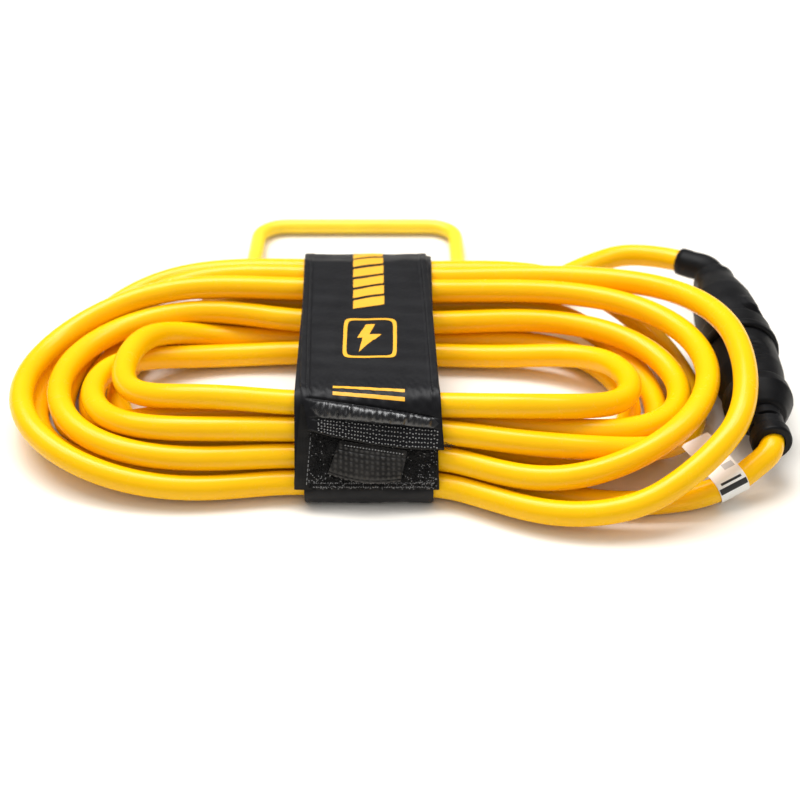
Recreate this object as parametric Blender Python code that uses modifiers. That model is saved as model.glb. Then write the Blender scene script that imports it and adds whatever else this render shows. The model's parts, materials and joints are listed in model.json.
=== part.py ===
"""Shore power cord, coiled and mated end to end, with its hook-and-loop carry strap.

Blender 4.5.  Metres, +Z up.  The coil lies on the floor, long way along X.  The origin is
on the underside of the strap, midway between the front and back bundles of cord.
"""
import math

import bmesh
import bpy
import numpy as np
from mathutils import Matrix, Vector

MM = 0.001

# ---- cord ----
CORD_R = 8.0 * MM             # outside of the jacket
JACKET_WALL = 2.8 * MM
WIRE_R = 1.9 * MM             # insulated conductor
WIRE_OFFSET = 2.35 * MM       # conductor centre to cord centre
WIRE_ANGLES = {"hot": 150, "neutral": 30, "ground": 270}    # seen from the plug
STRAND_GAP = 16.45 * MM       # least distance between the centre lines of two strands
FLOOR_Z = 8.3 * MM            # centre line of a strand that lies on the floor

# ---- bundles where the strap holds them: (y, z) in mm, by strand ----
FRONT_SLOTS = {"F1": (-95, 8.3), "F2": (-78, 8.3), "F3": (-61, 8.3), "F4": (-86.5, 22.9),
               "F5": (-69.5, 22.9), "F6": (-78, 37.5), "F7": (-61, 37.5), "F8": (-69.5, 52.1)}
BACK_SLOTS = {"B1": (53, 8.3), "B2": (70, 8.3), "B3": (68, 25.5), "B4": (83, 42),
              "B5": (99.5, 42.5), "B6": (115, 38), "B7": (92, 25), "B8": (99, 8.3)}
STRAND_SKEW = -0.03           # the strands cross the strap at this slope
SLOT_X = 46.0                 # the slots are held out to here, each side of the strap's middle

# ---- end turns: back slot, front slot, apex x, apex z, front bow, back bow, squareness ----
TURN_START_X = 100.0
LEFT_TURNS = [("B8", "F7", 186, 8.3, 4, 0, 2.2), ("B3", "F4", 203.5, 26, -4, 4, 2.2),
              ("B4", "F1", 229, 24, -8, 2, 2.2), ("B5", "F5", 202.4, 8.3, 0, 0, 2.3),
              ("B2", "F8", 164, 25, 4, -6, 2.2), ("B1", "F6", 181, 25, 0, 4, 2.2),
              ("B6", "F2", 219, 8.3, -6, -2, 2.4), ("B7", "F3", 169, 8.3, 2, 0, 2.2)]
RIGHT_TURNS = [("B3", "F7", 208.5, 27, -10, 4, 2.2), ("B4", "F4", 224, 46, -24, 4, 2.2),
               ("B5", "F1", 242.5, 60, -26, 0, 2.2), ("B7", "F5", 193, 8.5, -10, 0, 2.2),
               ("B1", "F8", 174.5, 25, -8, -6, 2.2), ("B6", "F6", 219, 12, -14, 0, 2.3),
               ("B2", "F3", 176, 8.3, -4, 0, 2.2)]
TURN_MIDDLE_Y = {-1: -9.0, 1: -15.0}
TURN_ANGLES = [-90, -72, -54, -36, -18, 0, 18, 36, 54, 72, 90]

# ---- mated plug and socket, on one axis ----
MATE_POINT = Vector((251.6, 44.0, 28.3)) * MM
MATE_YAW = math.radians(3.1)
MATE_AXIS = Vector((-math.sin(MATE_YAW), math.cos(MATE_YAW), 0.0))    # from plug to socket
SIDE = Vector((0, 0, 1)).cross(MATE_AXIS)
BLADE_SIZE = (1.8, 9.5)       # thickness and width, mm
BLADE_SPAN = (-28.0, 20.0)    # along the axis from the mating plane, mm
PIN_R = 2.4
TERMINALS = {"hot": (-8.5, 3.0, 45.0), "neutral": (8.5, 3.0, -45.0), "ground": (0.0, -9.0, 0.0)}
CONTACT_SIZE = (4.8, 12.8)
CONTACT_SPAN = (2.5, 30.0)
GROUND_CONTACT_R = 4.5
CONTACT_SLOT_TO = 24.0        # the blade's slot in its contact ends here
FIT = 0.15                    # clearance round a terminal in its insert
BRIDGE_R = 16.0               # the plug's face insert
BRIDGE_SPAN = (-22.3, -0.5)
INSERT_R = 20.0               # the socket's face insert
INSERT_SPAN = (0.4, 31.6)
TERMINAL_GAP = 0.4            # between a terminal's crimp and its conductor
PLUG_WIRES_TO = -36.0         # where the conductors leave their terminals' lines
SOCKET_WIRES_TO = 38.0
SOCKET_BOOT_R = 10.4 * MM
SOCKET_BOOT_WALL = 1.9 * MM
BOOT_SLOTS = (-90.0, -96.0, -102.0)
BOOT_SLOT_WIDTH = 2.4
BOOT_SLOT_REACH = 16.3        # middle of a slot's cutter from the axis

# ---- strap, handle, label ----
STRAP_WIDTH = 88.0 * MM
BAND = 1.2                    # fabric thicknesses, mm
PANEL = 0.9
LOOP = 1.0
HOOK = 1.0
FLAP = 1.4
TAB = 1.1
LAYER_GAP = 0.3
STRAND_SLACK = 1.7            # between the cord and the strap
STRAP_LIFT = (CORD_R - FLOOR_Z) / MM + STRAND_SLACK + BAND    # the strap is under the coil
FLAP_FROM = 59.5              # heights on the front face, mm
FLAP_TO = 38.6
TAB_FROM = 37.8
TAB_TO = 18.0
TAB_WIDTH = 45.0 * MM
TAB_X = 2.0
HANDLE_R = 5.5
HANDLE_WIDTH = 162.0
HANDLE_HINGE = (131.0, 19.0)  # y, z of the lower bar
HANDLE_REACH = 109.0          # lower bar to far bar, centre to centre
HANDLE_TILT = -6.8
HANDLE_SHIFT = -12.0
HANDLE_CORNER = 16.0
LABEL_WIDTH = 20.0
LABEL_FLAG = 40.0
LABEL_WRAP_R = 8.75
LABEL_THICKNESS = 0.5
LABEL_AT = Vector((230.0, -102.2, 10.9))      # on the plug's tail
LABEL_LEAN = Vector((-0.42, 1.0, 0.02))

COLOURS = {
    "cord_yellow": ((0.98, 0.62, 0.01), 0.28, 0.0),
    "handle_yellow": ((0.98, 0.70, 0.05), 0.35, 0.0),
    "moulded_black": ((0.02, 0.02, 0.021), 0.5, 0.0),
    "insert_black": ((0.035, 0.035, 0.037), 0.4, 0.0),
    "brass": ((0.72, 0.53, 0.22), 0.3, 1.0),
    "wire_black": ((0.03, 0.03, 0.03), 0.4, 0.0),
    "wire_white": ((0.85, 0.85, 0.82), 0.4, 0.0),
    "wire_green": ((0.03, 0.35, 0.1), 0.4, 0.0),
    "strap_fabric": ((0.02, 0.02, 0.022), 0.75, 0.0),
    "loop_fabric": ((0.03, 0.03, 0.03), 0.95, 0.0),
    "label_white": ((0.9, 0.9, 0.88), 0.45, 0.0),
}
WIRE_COLOUR = {"hot": "wire_black", "neutral": "wire_white", "ground": "wire_green"}


# ---------------------------------------------------------------- scene helpers
def clear_scene():
    for ob in list(bpy.data.objects):
        bpy.data.objects.remove(ob, do_unlink=True)


def new_collection(name, hidden=False):
    coll = bpy.data.collections.new(name)
    bpy.context.scene.collection.children.link(coll)
    coll.hide_render = hidden
    return coll


def material(slot):
    mat = bpy.data.materials.get(slot)
    if mat is None:
        colour, roughness, metallic = COLOURS[slot]
        mat = bpy.data.materials.new(slot)
        mat.use_nodes = True
        shader = mat.node_tree.nodes["Principled BSDF"]
        shader.inputs["Base Color"].default_value = (*colour, 1.0)
        shader.inputs["Roughness"].default_value = roughness
        shader.inputs["Metallic"].default_value = metallic
    return mat


def add_object(name, data, slot, parent=None):
    ob = bpy.data.objects.new(name, data)
    PARTS.objects.link(ob)
    data.materials.append(material(slot))
    ob.parent = parent
    return ob


def add_empty(name, location):
    ob = bpy.data.objects.new(name, None)
    PARTS.objects.link(ob)
    ob.location = location
    return ob


def cutter(name, data):
    ob = bpy.data.objects.new(name, data)
    CUTTERS.objects.link(ob)
    ob.hide_render = True
    ob.display_type = "WIRE"
    return ob


def cut(ob, tool):
    mod = ob.modifiers.new("cut_" + tool.name, "BOOLEAN")
    mod.operation = "DIFFERENCE"
    mod.solver = "EXACT"
    mod.object = tool


def shade_smooth(mesh):
    mesh.polygons.foreach_set("use_smooth", [True] * len(mesh.polygons))


# ---------------------------------------------------------------- shape builders
def poly_curve(name, points, bevel=0.0, sides=2, cyclic=False, caps=True, extrude=0.0):
    """A straight-segment curve through the points, round if bevel, a ribbon if extrude."""
    curve = bpy.data.curves.new(name, "CURVE")
    curve.dimensions = "3D"
    curve.bevel_depth = bevel
    curve.bevel_resolution = sides
    curve.use_fill_caps = caps
    curve.extrude = extrude
    spline = curve.splines.new("POLY")
    spline.points.add(len(points) - 1)
    for point, co in zip(spline.points, points):
        point.co = (*co, 1.0)
    spline.use_cyclic_u = cyclic
    return curve


def revolve(name, profile, slot, steps=24, parent=None):
    """A closed (s, r) profile in mm turned about the mating axis."""
    bm = bmesh.new()
    verts = [bm.verts.new((r * MM, 0.0, s * MM)) for s, r in profile]
    for k in range(len(verts)):
        bm.edges.new((verts[k], verts[(k + 1) % len(verts)]))
    mesh = bpy.data.meshes.new(name)
    bm.to_mesh(mesh)
    bm.free()
    ob = add_object(name, mesh, slot, parent)
    screw = ob.modifiers.new("turn", "SCREW")
    screw.axis = "Z"
    screw.angle = math.tau
    screw.steps = steps
    screw.render_steps = steps
    screw.use_merge_vertices = True
    screw.merge_threshold = 1e-5
    screw.use_normal_calculate = True
    place_on_axis(ob)
    return ob


def place_on_axis(ob):
    """Local Z runs along the mating axis from the mating plane, local Y up."""
    matrix = Matrix((SIDE, Vector((0, 0, 1)), MATE_AXIS)).transposed().to_4x4()
    matrix.translation = MATE_POINT - (ob.parent.location if ob.parent else Vector((0, 0, 0)))
    ob.matrix_basis = matrix


def box_mesh(name, size, centre, tilt=0.0):
    """A box in mm in the plug's own axes, turned by tilt degrees about its own middle."""
    bm = bmesh.new()
    bmesh.ops.create_cube(bm, size=1.0)
    bmesh.ops.scale(bm, vec=Vector(size) * MM, verts=bm.verts)
    bmesh.ops.rotate(bm, cent=(0, 0, 0), matrix=Matrix.Rotation(math.radians(tilt), 3, "Z"),
                     verts=bm.verts)
    bmesh.ops.translate(bm, vec=Vector(centre) * MM, verts=bm.verts)
    mesh = bpy.data.meshes.new(name)
    bm.to_mesh(mesh)
    bm.free()
    return mesh


def rod_mesh(name, radius, length, centre, segments=16):
    bm = bmesh.new()
    bmesh.ops.create_cone(bm, cap_ends=True, segments=segments, radius1=radius * MM,
                          radius2=radius * MM, depth=length * MM)
    bmesh.ops.translate(bm, vec=Vector(centre) * MM, verts=bm.verts)
    mesh = bpy.data.meshes.new(name)
    bm.to_mesh(mesh)
    bm.free()
    shade_smooth(mesh)
    return mesh


def ribbon(name, points, width, thickness, slot, parent=None, x=0.0):
    """A strip of fabric whose section in the YZ plane follows the points (mm)."""
    curve = poly_curve(name, [(y * MM, z * MM, 0.0) for y, z in points], extrude=width / 2)
    ob = add_object(name, curve, slot, parent)
    solid = ob.modifiers.new("thickness", "SOLIDIFY")
    solid.thickness = thickness * MM
    solid.offset = 0.0
    ob.rotation_euler = (math.pi / 2, 0.0, math.pi / 2)
    ob.location = (x * MM, 0.0, 0.0)
    if parent:
        ob.location = Vector(ob.location) - parent.location
    return ob


# ---------------------------------------------------------------- path of the cord
def slot_point(name, side):
    y, z = FRONT_SLOTS.get(name) or BACK_SLOTS.get(name)
    return (side * SLOT_X, y + STRAND_SKEW * side * SLOT_X, z + STRAP_LIFT)


def end_turn(side, back, front, apex_x, apex_z, front_bow, back_bow, squareness):
    """Points in mm from the back slot round one end of the coil to the front slot."""
    start = slot_point(back, side)
    stop = slot_point(front, side)
    middle = TURN_MIDDLE_Y[side]
    power = 2.0 / squareness
    points = [start]
    for angle in reversed(TURN_ANGLES):
        t = math.radians(angle)
        reach = max(math.cos(t), 0.0) ** power
        swing = abs(math.sin(t)) ** power
        if angle < 0:
            y = middle + swing * (stop[1] + front_bow - middle)
            z_end = stop[2]
        else:
            y = middle + swing * (start[1] + back_bow - middle)
            z_end = start[2]
        rise = 0.5 - 0.5 * math.cos(math.pi * min(1.0, (90 - abs(angle)) / 75.0))
        x = TURN_START_X + (apex_x - TURN_START_X) * reach
        points.append((side * x, y, z_end + (apex_z - z_end) * rise))
    points.append(stop)
    return points


def axis_point(s):
    """A point on the mating axis, s mm from the mating plane, in mm."""
    return tuple((MATE_POINT + MATE_AXIS * s * MM) / MM)


SOCKET_LEAD = [axis_point(58), axis_point(72), axis_point(84.4), axis_point(90), (242.5, 142, 28),
               (236, 151.5, 27.4), (228.5, 160, 26.5), (218, 168.5, 25.5), (203.5, 171.5, 24.5),
               (187, 167, 24), (163, 155, 22.5), (132, 136, 18), (98, 114, 13)]
SOCKET_BOOT_LEAD = slice(2, 7)     # the boot covers these points of the lead
TAIL_JOIN = [(88, -89, 8.3), (120, -102.5, 8.3), (142, -109.5, 8.3), (160, -113.5, 8.3)]
PLUG_TAIL = [(160.6, -113.63, 8.3), (182, -118, 8.3), (204, -113.5, 8.3), (222, -106, 8.8),
             (238, -98.5, 13), (250, -90.5, 20.5), (256, -82, 26.5), axis_point(-119),
             axis_point(-84), axis_point(-48)]
SOCKET_LEAD_HELD = 9          # how many points of the lead stay put as the coil settles
PLUG_TAIL_TOUCH = 8           # how many points of the tail the coil has to stay clear of


def closest_between(p1, q1, p2, q2):
    """Closest approach of paired segments: fractions along each, and the vector between."""
    d1 = q1 - p1
    d2 = q2 - p2
    r = p1 - p2
    a = (d1 * d1).sum(1)
    e = (d2 * d2).sum(1)
    f = (d2 * r).sum(1)
    c = (d1 * r).sum(1)
    b = (d1 * d2).sum(1)
    det = a * e - b * b
    crossing = det > 1e-9
    s = np.where(crossing, np.clip((b * f - c * e) / np.where(crossing, det, 1.0), 0, 1), 0.0)
    t = np.clip((b * s + f) / e, 0, 1)
    s = np.clip((b * t - c) / a, 0, 1)
    return s, t, p1 + d1 * s[:, None] - p2 - d2 * t[:, None]


def push_apart(push, count, index, fraction, vector):
    """Shares a push on a segment between its two ends."""
    for offset, weight in ((0, 1 - fraction), (1, fraction)):
        np.add.at(push, index + offset, vector * weight[:, None])
        np.add.at(count, index + offset, weight)


def relax(path, held, obstacles, rounds=400, settle=60):
    """Moves the free points until no two strands, and no obstacle, overlap."""
    gap = STRAND_GAP / MM
    floor = FLOOR_Z / MM
    total = len(path)
    shift = np.zeros_like(path)
    first, second = np.triu_indices(total - 1, 3)
    free = (~held).astype(float)[:, None]
    for step in range(rounds):
        now = path + shift
        push = np.zeros_like(path)
        count = np.zeros(total)
        s, t, vector = closest_between(now[first], now[first + 1], now[second], now[second + 1])
        distance = np.sqrt((vector * vector).sum(1))
        near = distance < gap
        part = vector[near] * (0.5 * (gap + 0.05 - distance[near]) / distance[near])[:, None]
        push_apart(push, count, first[near], s[near], part)
        push_apart(push, count, second[near], t[near], -part)
        for start, stop, radius in obstacles:
            reach = radius + gap / 2
            a = np.repeat(np.array([start], float), total - 1, 0)
            b = np.repeat(np.array([stop], float), total - 1, 0)
            s, t, vector = closest_between(now[:-1], now[1:], a, b)
            distance = np.sqrt((vector * vector).sum(1))
            near = np.nonzero(distance < reach)[0]
            part = vector[near] * ((reach + 0.05 - distance[near]) / distance[near])[:, None]
            push_apart(push, count, near, s[near], part)
        shift = shift + push / np.maximum(count, 1.0)[:, None] * free
        if step < rounds - settle:
            eased = shift.copy()
            eased[1:-1] = 0.75 * shift[1:-1] + 0.125 * (shift[:-2] + shift[2:])
            shift = eased * free
        low = (path + shift)[:, 2] < floor
        shift[low, 2] = (floor - path[low, 2]) * free[low, 0]
    return path + shift


def mated_pair_obstacles():
    """The plug, the socket and the plug's tail as capsules, in mm."""
    a = axis_point
    capsules = [(a(-118), a(-88), 14.0), (a(-70), a(-56), 25.5), (a(-56), a(-6), 23.0),
                (a(-3), a(10), 28.0), (a(10), a(40), 26.2), (a(40), a(70), 24.0)]
    for k in range(1, PLUG_TAIL_TOUCH - 1):
        capsules.append((PLUG_TAIL[k], PLUG_TAIL[k + 1], CORD_R / MM))
    return capsules


def coil_path():
    """Centre line of the cord in mm, from inside the socket to where the plug's tail begins."""
    left = {turn[0]: turn for turn in LEFT_TURNS}
    right = {turn[1]: turn for turn in RIGHT_TURNS}
    points = list(SOCKET_LEAD)
    held = [k < SOCKET_LEAD_HELD for k in range(len(points))]
    back = LEFT_TURNS[0][0]
    while True:
        points.append(slot_point(back, 1))
        held.append(True)
        leg = end_turn(-1, *left[back])
        points += leg
        held += [True] + [False] * (len(leg) - 2) + [True]
        front = left[back][1]
        if front not in right:
            break
        leg = end_turn(1, *right[front])[::-1]
        points += leg[:-1]
        held += [True] + [False] * (len(leg) - 2)
        back = right[front][0]
    points.append(slot_point(front, 1))
    held.append(True)
    points += TAIL_JOIN
    held += [False, False, True, True]
    return relax(np.array(points, float), np.array(held), mated_pair_obstacles()) * MM


def offset_path(points, distance, angle):
    """A line beside the path, kept at one angle round it by a twist-free frame."""
    pts = [Vector(p) for p in points]
    tangents = []
    for k in range(len(pts)):
        ahead = pts[min(k + 1, len(pts) - 1)] - pts[k]
        behind = pts[k] - pts[max(k - 1, 0)]
        tangents.append((ahead.normalized() + behind.normalized()).normalized())
    up = Vector((0, 0, 1))
    normal = (up - tangents[0] * up.dot(tangents[0])).normalized()
    out = []
    for point, tangent in zip(pts, tangents):
        normal = (normal - tangent * normal.dot(tangent)).normalized()
        side = tangent.cross(normal)
        spin = math.radians(angle)
        out.append(point + (normal * math.sin(spin) + side * math.cos(spin)) * distance)
    return out


def on_axis(x, y, s):
    """World place of a point given sideways, up and along the mating axis, in mm."""
    return MATE_POINT + (SIDE * x + Vector((0, 0, y)) + MATE_AXIS * s) * MM


# ---------------------------------------------------------------- cord
def jacket(name, points, parent=None):
    curve = poly_curve(name, shifted(points, parent), bevel=CORD_R, caps=False)
    ob = add_object(name, curve, "cord_yellow", parent)
    wall = ob.modifiers.new("wall", "SOLIDIFY")
    wall.thickness = JACKET_WALL
    wall.offset = -1.0
    wall.use_even_offset = False
    return ob


def shifted(points, parent):
    origin = parent.location if parent else Vector((0, 0, 0))
    return [tuple(Vector(p) - origin) for p in points]


def wires(prefix, points, terminal_s, lead_s, parent=None):
    """The three conductors inside one length of jacket, out to their terminals."""
    for pole, angle in WIRE_ANGLES.items():
        line = offset_path(points, WIRE_OFFSET, angle if parent else 180 - angle)
        x, y = TERMINALS[pole][:2]
        lead = [on_axis(x, y, terminal_s), on_axis(x, y, lead_s)]
        line = lead + line
        curve = poly_curve(prefix + pole, shifted(line, parent), bevel=WIRE_R, sides=0)
        add_object(prefix + pole, curve, WIRE_COLOUR[pole], parent)


def build_cord():
    path = [Vector(p) for p in coil_path()]
    jacket("cord_jacket", path)
    wires("conductor_", path, CONTACT_SPAN[1] + TERMINAL_GAP, SOCKET_WIRES_TO)
    curve = poly_curve("socket_boot", path[SOCKET_BOOT_LEAD], bevel=SOCKET_BOOT_R, caps=False)
    boot = add_object("socket_boot", curve, "moulded_black")
    wall = boot.modifiers.new("wall", "SOLIDIFY")
    wall.thickness = SOCKET_BOOT_WALL
    wall.offset = -1.0


# ---------------------------------------------------------------- plug and socket
PLUG_OUTSIDE = [(-0.15, 24.3), (-1.2, 25.3), (-5.2, 25.3), (-6.4, 23.6), (-9, 23.0), (-30, 22.3),
                (-48, 22.7), (-55, 23.8), (-60, 25.0), (-65, 25.0), (-74, 20.8), (-84, 16.4),
                (-85, 15.2)]
PLUG_INSIDE = [(-85, 8.5), (-47, 8.5), (-44, 14.0), (-22.5, 14.0), (-22.5, 16.3), (-0.15, 16.3)]
BOOT_OUTSIDE = [(-85.3, 14.2), (-108, 13.2), (-109, 13.6), (-117.5, 13.6), (-118.5, 12.6)]
SOCKET_OUTSIDE = [(0.15, 27.0), (1.2, 28.0), (4.2, 28.0), (5.6, 26.4), (9, 26.0), (22, 26.2),
                  (23.5, 25.4), (45, 24.6), (64, 22.6), (76, 20.4), (82, 18.4), (84, 16.6)]
SOCKET_INSIDE = [(84, 8.5), (57, 8.5), (53, 14.0), (32, 14.0), (32, 20.3), (0.15, 20.3)]


def terminal_mesh(name, pole, section, radius, span):
    """A blade or contact body on its pole's place: a box, or a rod for the ground."""
    x, y, tilt = TERMINALS[pole]
    length = span[1] - span[0]
    centre = (x, y, (span[0] + span[1]) / 2)
    if pole == "ground":
        return rod_mesh(name, radius, length, centre)
    return box_mesh(name, (section[0], section[1], length), centre, tilt)


def pierce(ob, pole, section, radius, span):
    """Cuts one terminal's hole through an object."""
    tool = cutter(ob.name + "_hole_" + pole, terminal_mesh("hole", pole, section, radius, span))
    place_on_axis(tool)
    cut(ob, tool)


def grow(section, margin):
    return (section[0] + 2 * margin, section[1] + 2 * margin)


def beyond(span):
    """The span, a little longer at both ends so that a cut goes right through."""
    return (span[0] - 1.4, span[1] + 1.4)


def insert_mesh(name, radius, span):
    return rod_mesh(name, radius, span[1] - span[0], (0, 0, (span[0] + span[1]) / 2), 28)


def build_plug(plug):
    revolve("plug_body", PLUG_OUTSIDE + PLUG_INSIDE, "moulded_black", parent=plug)
    bridge = add_object("plug_bridge", insert_mesh("plug_bridge", BRIDGE_R, BRIDGE_SPAN),
                        "insert_black", plug)
    place_on_axis(bridge)
    for pole in TERMINALS:
        pierce(bridge, pole, grow(BLADE_SIZE, FIT), PIN_R + FIT, beyond(BRIDGE_SPAN))
        blade = add_object("plug_blade_" + pole if pole != "ground" else "plug_ground_pin",
                           terminal_mesh(pole, pole, BLADE_SIZE, PIN_R, BLADE_SPAN), "brass", plug)
        place_on_axis(blade)
    boot = revolve("plug_boot", BOOT_OUTSIDE + [(-118.5, 8.5), (-85.3, 8.5)], "moulded_black",
                   parent=plug)
    for row, s in enumerate(BOOT_SLOTS):
        for side in (-1, 1):
            turn = 90.0 * (row % 2)
            middle = Vector((side * BOOT_SLOT_REACH, 0.0))
            middle.rotate(Matrix.Rotation(math.radians(turn), 2))
            tool = cutter("boot_slot", box_mesh("boot_slot", (10.0, 20.0, BOOT_SLOT_WIDTH),
                                                (middle.x, middle.y, s), turn))
            place_on_axis(tool)
            cut(boot, tool)
    tail = [Vector(p) * MM for p in PLUG_TAIL]
    jacket("plug_tail_jacket", tail, plug)
    wires("plug_wire_", list(reversed(tail)), BLADE_SPAN[0] - TERMINAL_GAP, PLUG_WIRES_TO, plug)


def build_socket():
    revolve("socket_body", SOCKET_OUTSIDE + SOCKET_INSIDE, "moulded_black")
    insert = add_object("socket_insert", insert_mesh("socket_insert", INSERT_R, INSERT_SPAN),
                        "insert_black")
    place_on_axis(insert)
    for pole in TERMINALS:
        pierce(insert, pole, grow(CONTACT_SIZE, FIT), GROUND_CONTACT_R + FIT,
               beyond(INSERT_SPAN))
        body = terminal_mesh("contact", pole, CONTACT_SIZE, GROUND_CONTACT_R, CONTACT_SPAN)
        contact = add_object("socket_contact_" + pole, body, "brass")
        place_on_axis(contact)
        pierce(contact, pole, grow(BLADE_SIZE, 2 * FIT), PIN_R + 2 * FIT,
               (CONTACT_SPAN[0] - 1, CONTACT_SLOT_TO))


# ---------------------------------------------------------------- strap
def turn_of(a, b, c):
    return (b[0] - a[0]) * (c[1] - a[1]) - (b[1] - a[1]) * (c[0] - a[0])


def half_hull(points):
    chain = []
    for p in points:
        while len(chain) > 1 and turn_of(chain[-2], chain[-1], p) <= 1e-6:
            chain.pop()
        chain.append(p)
    return chain


def hull_outline(offset, steps=24):
    """The taut outline round every strand under the strap, as (y, z) in mm: from the front
    end of the underside up the front, over the top, down the back and under to the start."""
    radius = CORD_R / MM + STRAND_SLACK + offset
    cloud = []
    for y, z in list(FRONT_SLOTS.values()) + list(BACK_SLOTS.values()):
        for k in range(steps):
            t = math.tau * k / steps
            cloud.append((y + radius * math.cos(t), z + STRAP_LIFT + radius * math.sin(t)))
    cloud.sort()
    lower = half_hull(cloud)
    upper = half_hull(reversed(cloud))
    outline = (lower + upper[1:-1])[::-1]
    lowest = min(p[1] for p in outline)
    start = min(range(len(outline)), key=lambda k: (outline[k][1] > lowest + 0.01, outline[k][0]))
    return outline[start:] + outline[:start + 1]


def crossing(outline, axis, value, falling=False, begin=0):
    """The first place along the outline, past begin, where y (axis 0) or z (axis 1) passes
    a value, as a whole-and-fraction index."""
    for k in range(begin, len(outline) - 1):
        a = outline[k][axis]
        b = outline[k + 1][axis]
        if (a < value <= b and not falling) or (a > value >= b and falling):
            return k + (value - a) / (b - a)
    raise ValueError("the outline never passes %g" % value)


def piece_of(outline, start, stop):
    """The outline's points between two indexes, with both ends interpolated."""
    def at(index):
        k = min(int(index), len(outline) - 2)
        f = index - k
        return tuple(outline[k][i] + (outline[k + 1][i] - outline[k][i]) * f for i in (0, 1))
    inner = [outline[k] for k in range(int(start) + 1, int(math.ceil(stop)))
             if k - start > 0.02 and stop - k > 0.02]
    return [at(start)] + inner + [at(stop)]


def front_piece(offset, top, bottom):
    """A stretch of the front face, from the higher to the lower height."""
    outline = hull_outline(offset)
    return piece_of(outline, crossing(outline, 1, bottom), crossing(outline, 1, top))[::-1]


def build_strap(flap_pivot, tab_pivot):
    band_mid = BAND / 2
    outline = hull_outline(band_mid)
    front_top = crossing(outline, 1, FLAP_FROM - 1.0)
    top_start = crossing(outline, 0, -72.0, begin=int(front_top))
    over = piece_of(outline, top_start, len(outline) - 1.0)
    under = piece_of(outline, 0.0, front_top)
    ribbon("strap_band", over + under[1:], STRAP_WIDTH, BAND, "strap_fabric")

    outline = hull_outline(BAND + LAYER_GAP + PANEL / 2)
    start = crossing(outline, 0, -71.0, begin=int(crossing(outline, 1, FLAP_FROM)))
    stop = crossing(outline, 1, 27.0, falling=True, begin=int(start))
    ribbon("printed_panel", piece_of(outline, start, stop), STRAP_WIDTH, PANEL, "strap_fabric")

    loop_mid = BAND + LAYER_GAP + LOOP / 2
    ribbon("loop_panel", front_piece(loop_mid, FLAP_FROM - 2.0, 5.5), STRAP_WIDTH, LOOP,
           "loop_fabric", x=-4.0)
    hook_mid = loop_mid + LOOP / 2 + LAYER_GAP + HOOK / 2
    ribbon("hook_patch", front_piece(hook_mid, FLAP_FROM - 2.5, FLAP_TO + 4.0),
           STRAP_WIDTH - 6 * MM, HOOK, "loop_fabric", flap_pivot)
    flap_mid = hook_mid + HOOK / 2 + LAYER_GAP + FLAP / 2
    ribbon("strap_flap", front_piece(flap_mid, FLAP_FROM, FLAP_TO), STRAP_WIDTH, FLAP,
           "strap_fabric", flap_pivot)
    tab_mid = loop_mid + LOOP / 2 + LAYER_GAP + TAB / 2
    ribbon("pull_tab", front_piece(tab_mid, TAB_FROM, TAB_TO), TAB_WIDTH, TAB,
           "strap_fabric", tab_pivot, x=TAB_X)
    build_keeper()


def flap_hinge_point():
    outer = BAND + LOOP + HOOK + FLAP + 3 * LAYER_GAP
    y, z = front_piece(outer, FLAP_FROM + 0.6, FLAP_TO)[0]
    return Vector((0.0, y, z)) * MM


def tab_hinge_point():
    outer = BAND + LOOP + TAB + 2 * LAYER_GAP
    y, z = front_piece(outer, TAB_FROM, TAB_TO)[0]
    return Vector((TAB_X, y, z)) * MM


def build_keeper():
    """The webbing loop sewn to the strap's back that holds the handle's lower bar."""
    y, z = HANDLE_HINGE
    radius = HANDLE_R + 1.6
    outline = hull_outline(BAND + LAYER_GAP + 0.7)
    top_index = crossing(outline, 1, 24.5, falling=True, begin=len(outline) // 2)
    low_index = crossing(outline, 1, 10.5, falling=True, begin=len(outline) // 2)
    face = piece_of(outline, top_index, low_index)
    points = [face[-1], face[0]]
    for k in range(9):
        t = math.radians(112 - 28 * k)
        points.append((y + radius * math.cos(t), z + radius * math.sin(t)))
    ribbon("handle_keeper", points, 56 * MM, 1.4, "strap_fabric", x=-2.0)


def build_handle(pivot):
    half = HANDLE_WIDTH / 2 - HANDLE_R
    corner = HANDLE_CORNER
    points = []
    corners = [(half - corner, corner, -90), (half - corner, HANDLE_REACH - corner, 0),
               (corner - half, HANDLE_REACH - corner, 90), (corner - half, corner, 180)]
    for x, y, begin in corners:
        for k in range(6):
            t = math.radians(begin + 18 * k)
            points.append(((x + corner * math.cos(t)) * MM, (y + corner * math.sin(t)) * MM, 0.0))
    curve = poly_curve("carry_handle", points, bevel=HANDLE_R * MM, sides=4, cyclic=True)
    ob = add_object("carry_handle", curve, "handle_yellow", pivot)
    ob.rotation_euler = (math.radians(HANDLE_TILT), 0.0, 0.0)


def build_label(parent):
    """A strip wrapped once round the plug's tail, its long end left as a flag."""
    along = (Vector(PLUG_TAIL[4]) - Vector(PLUG_TAIL[3])).normalized()
    flag = (LABEL_LEAN - along * LABEL_LEAN.dot(along)).normalized()
    up = along.cross(flag)
    points = [(LABEL_FLAG, LABEL_WRAP_R), (LABEL_FLAG / 2, LABEL_WRAP_R)]
    for k in range(13):
        t = math.radians(90 + 25 * k)
        points.append((LABEL_WRAP_R * math.cos(t), LABEL_WRAP_R * math.sin(t)))
    curve = poly_curve("label_flag", [(a * MM, b * MM, 0.0) for a, b in points],
                       extrude=LABEL_WIDTH / 2 * MM)
    ob = add_object("label_flag", curve, "label_white", parent)
    solid = ob.modifiers.new("thickness", "SOLIDIFY")
    solid.thickness = LABEL_THICKNESS * MM
    solid.offset = 0.0
    matrix = Matrix((flag, up, flag.cross(up))).transposed().to_4x4()
    matrix.translation = LABEL_AT * MM - parent.location
    ob.matrix_basis = matrix


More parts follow.
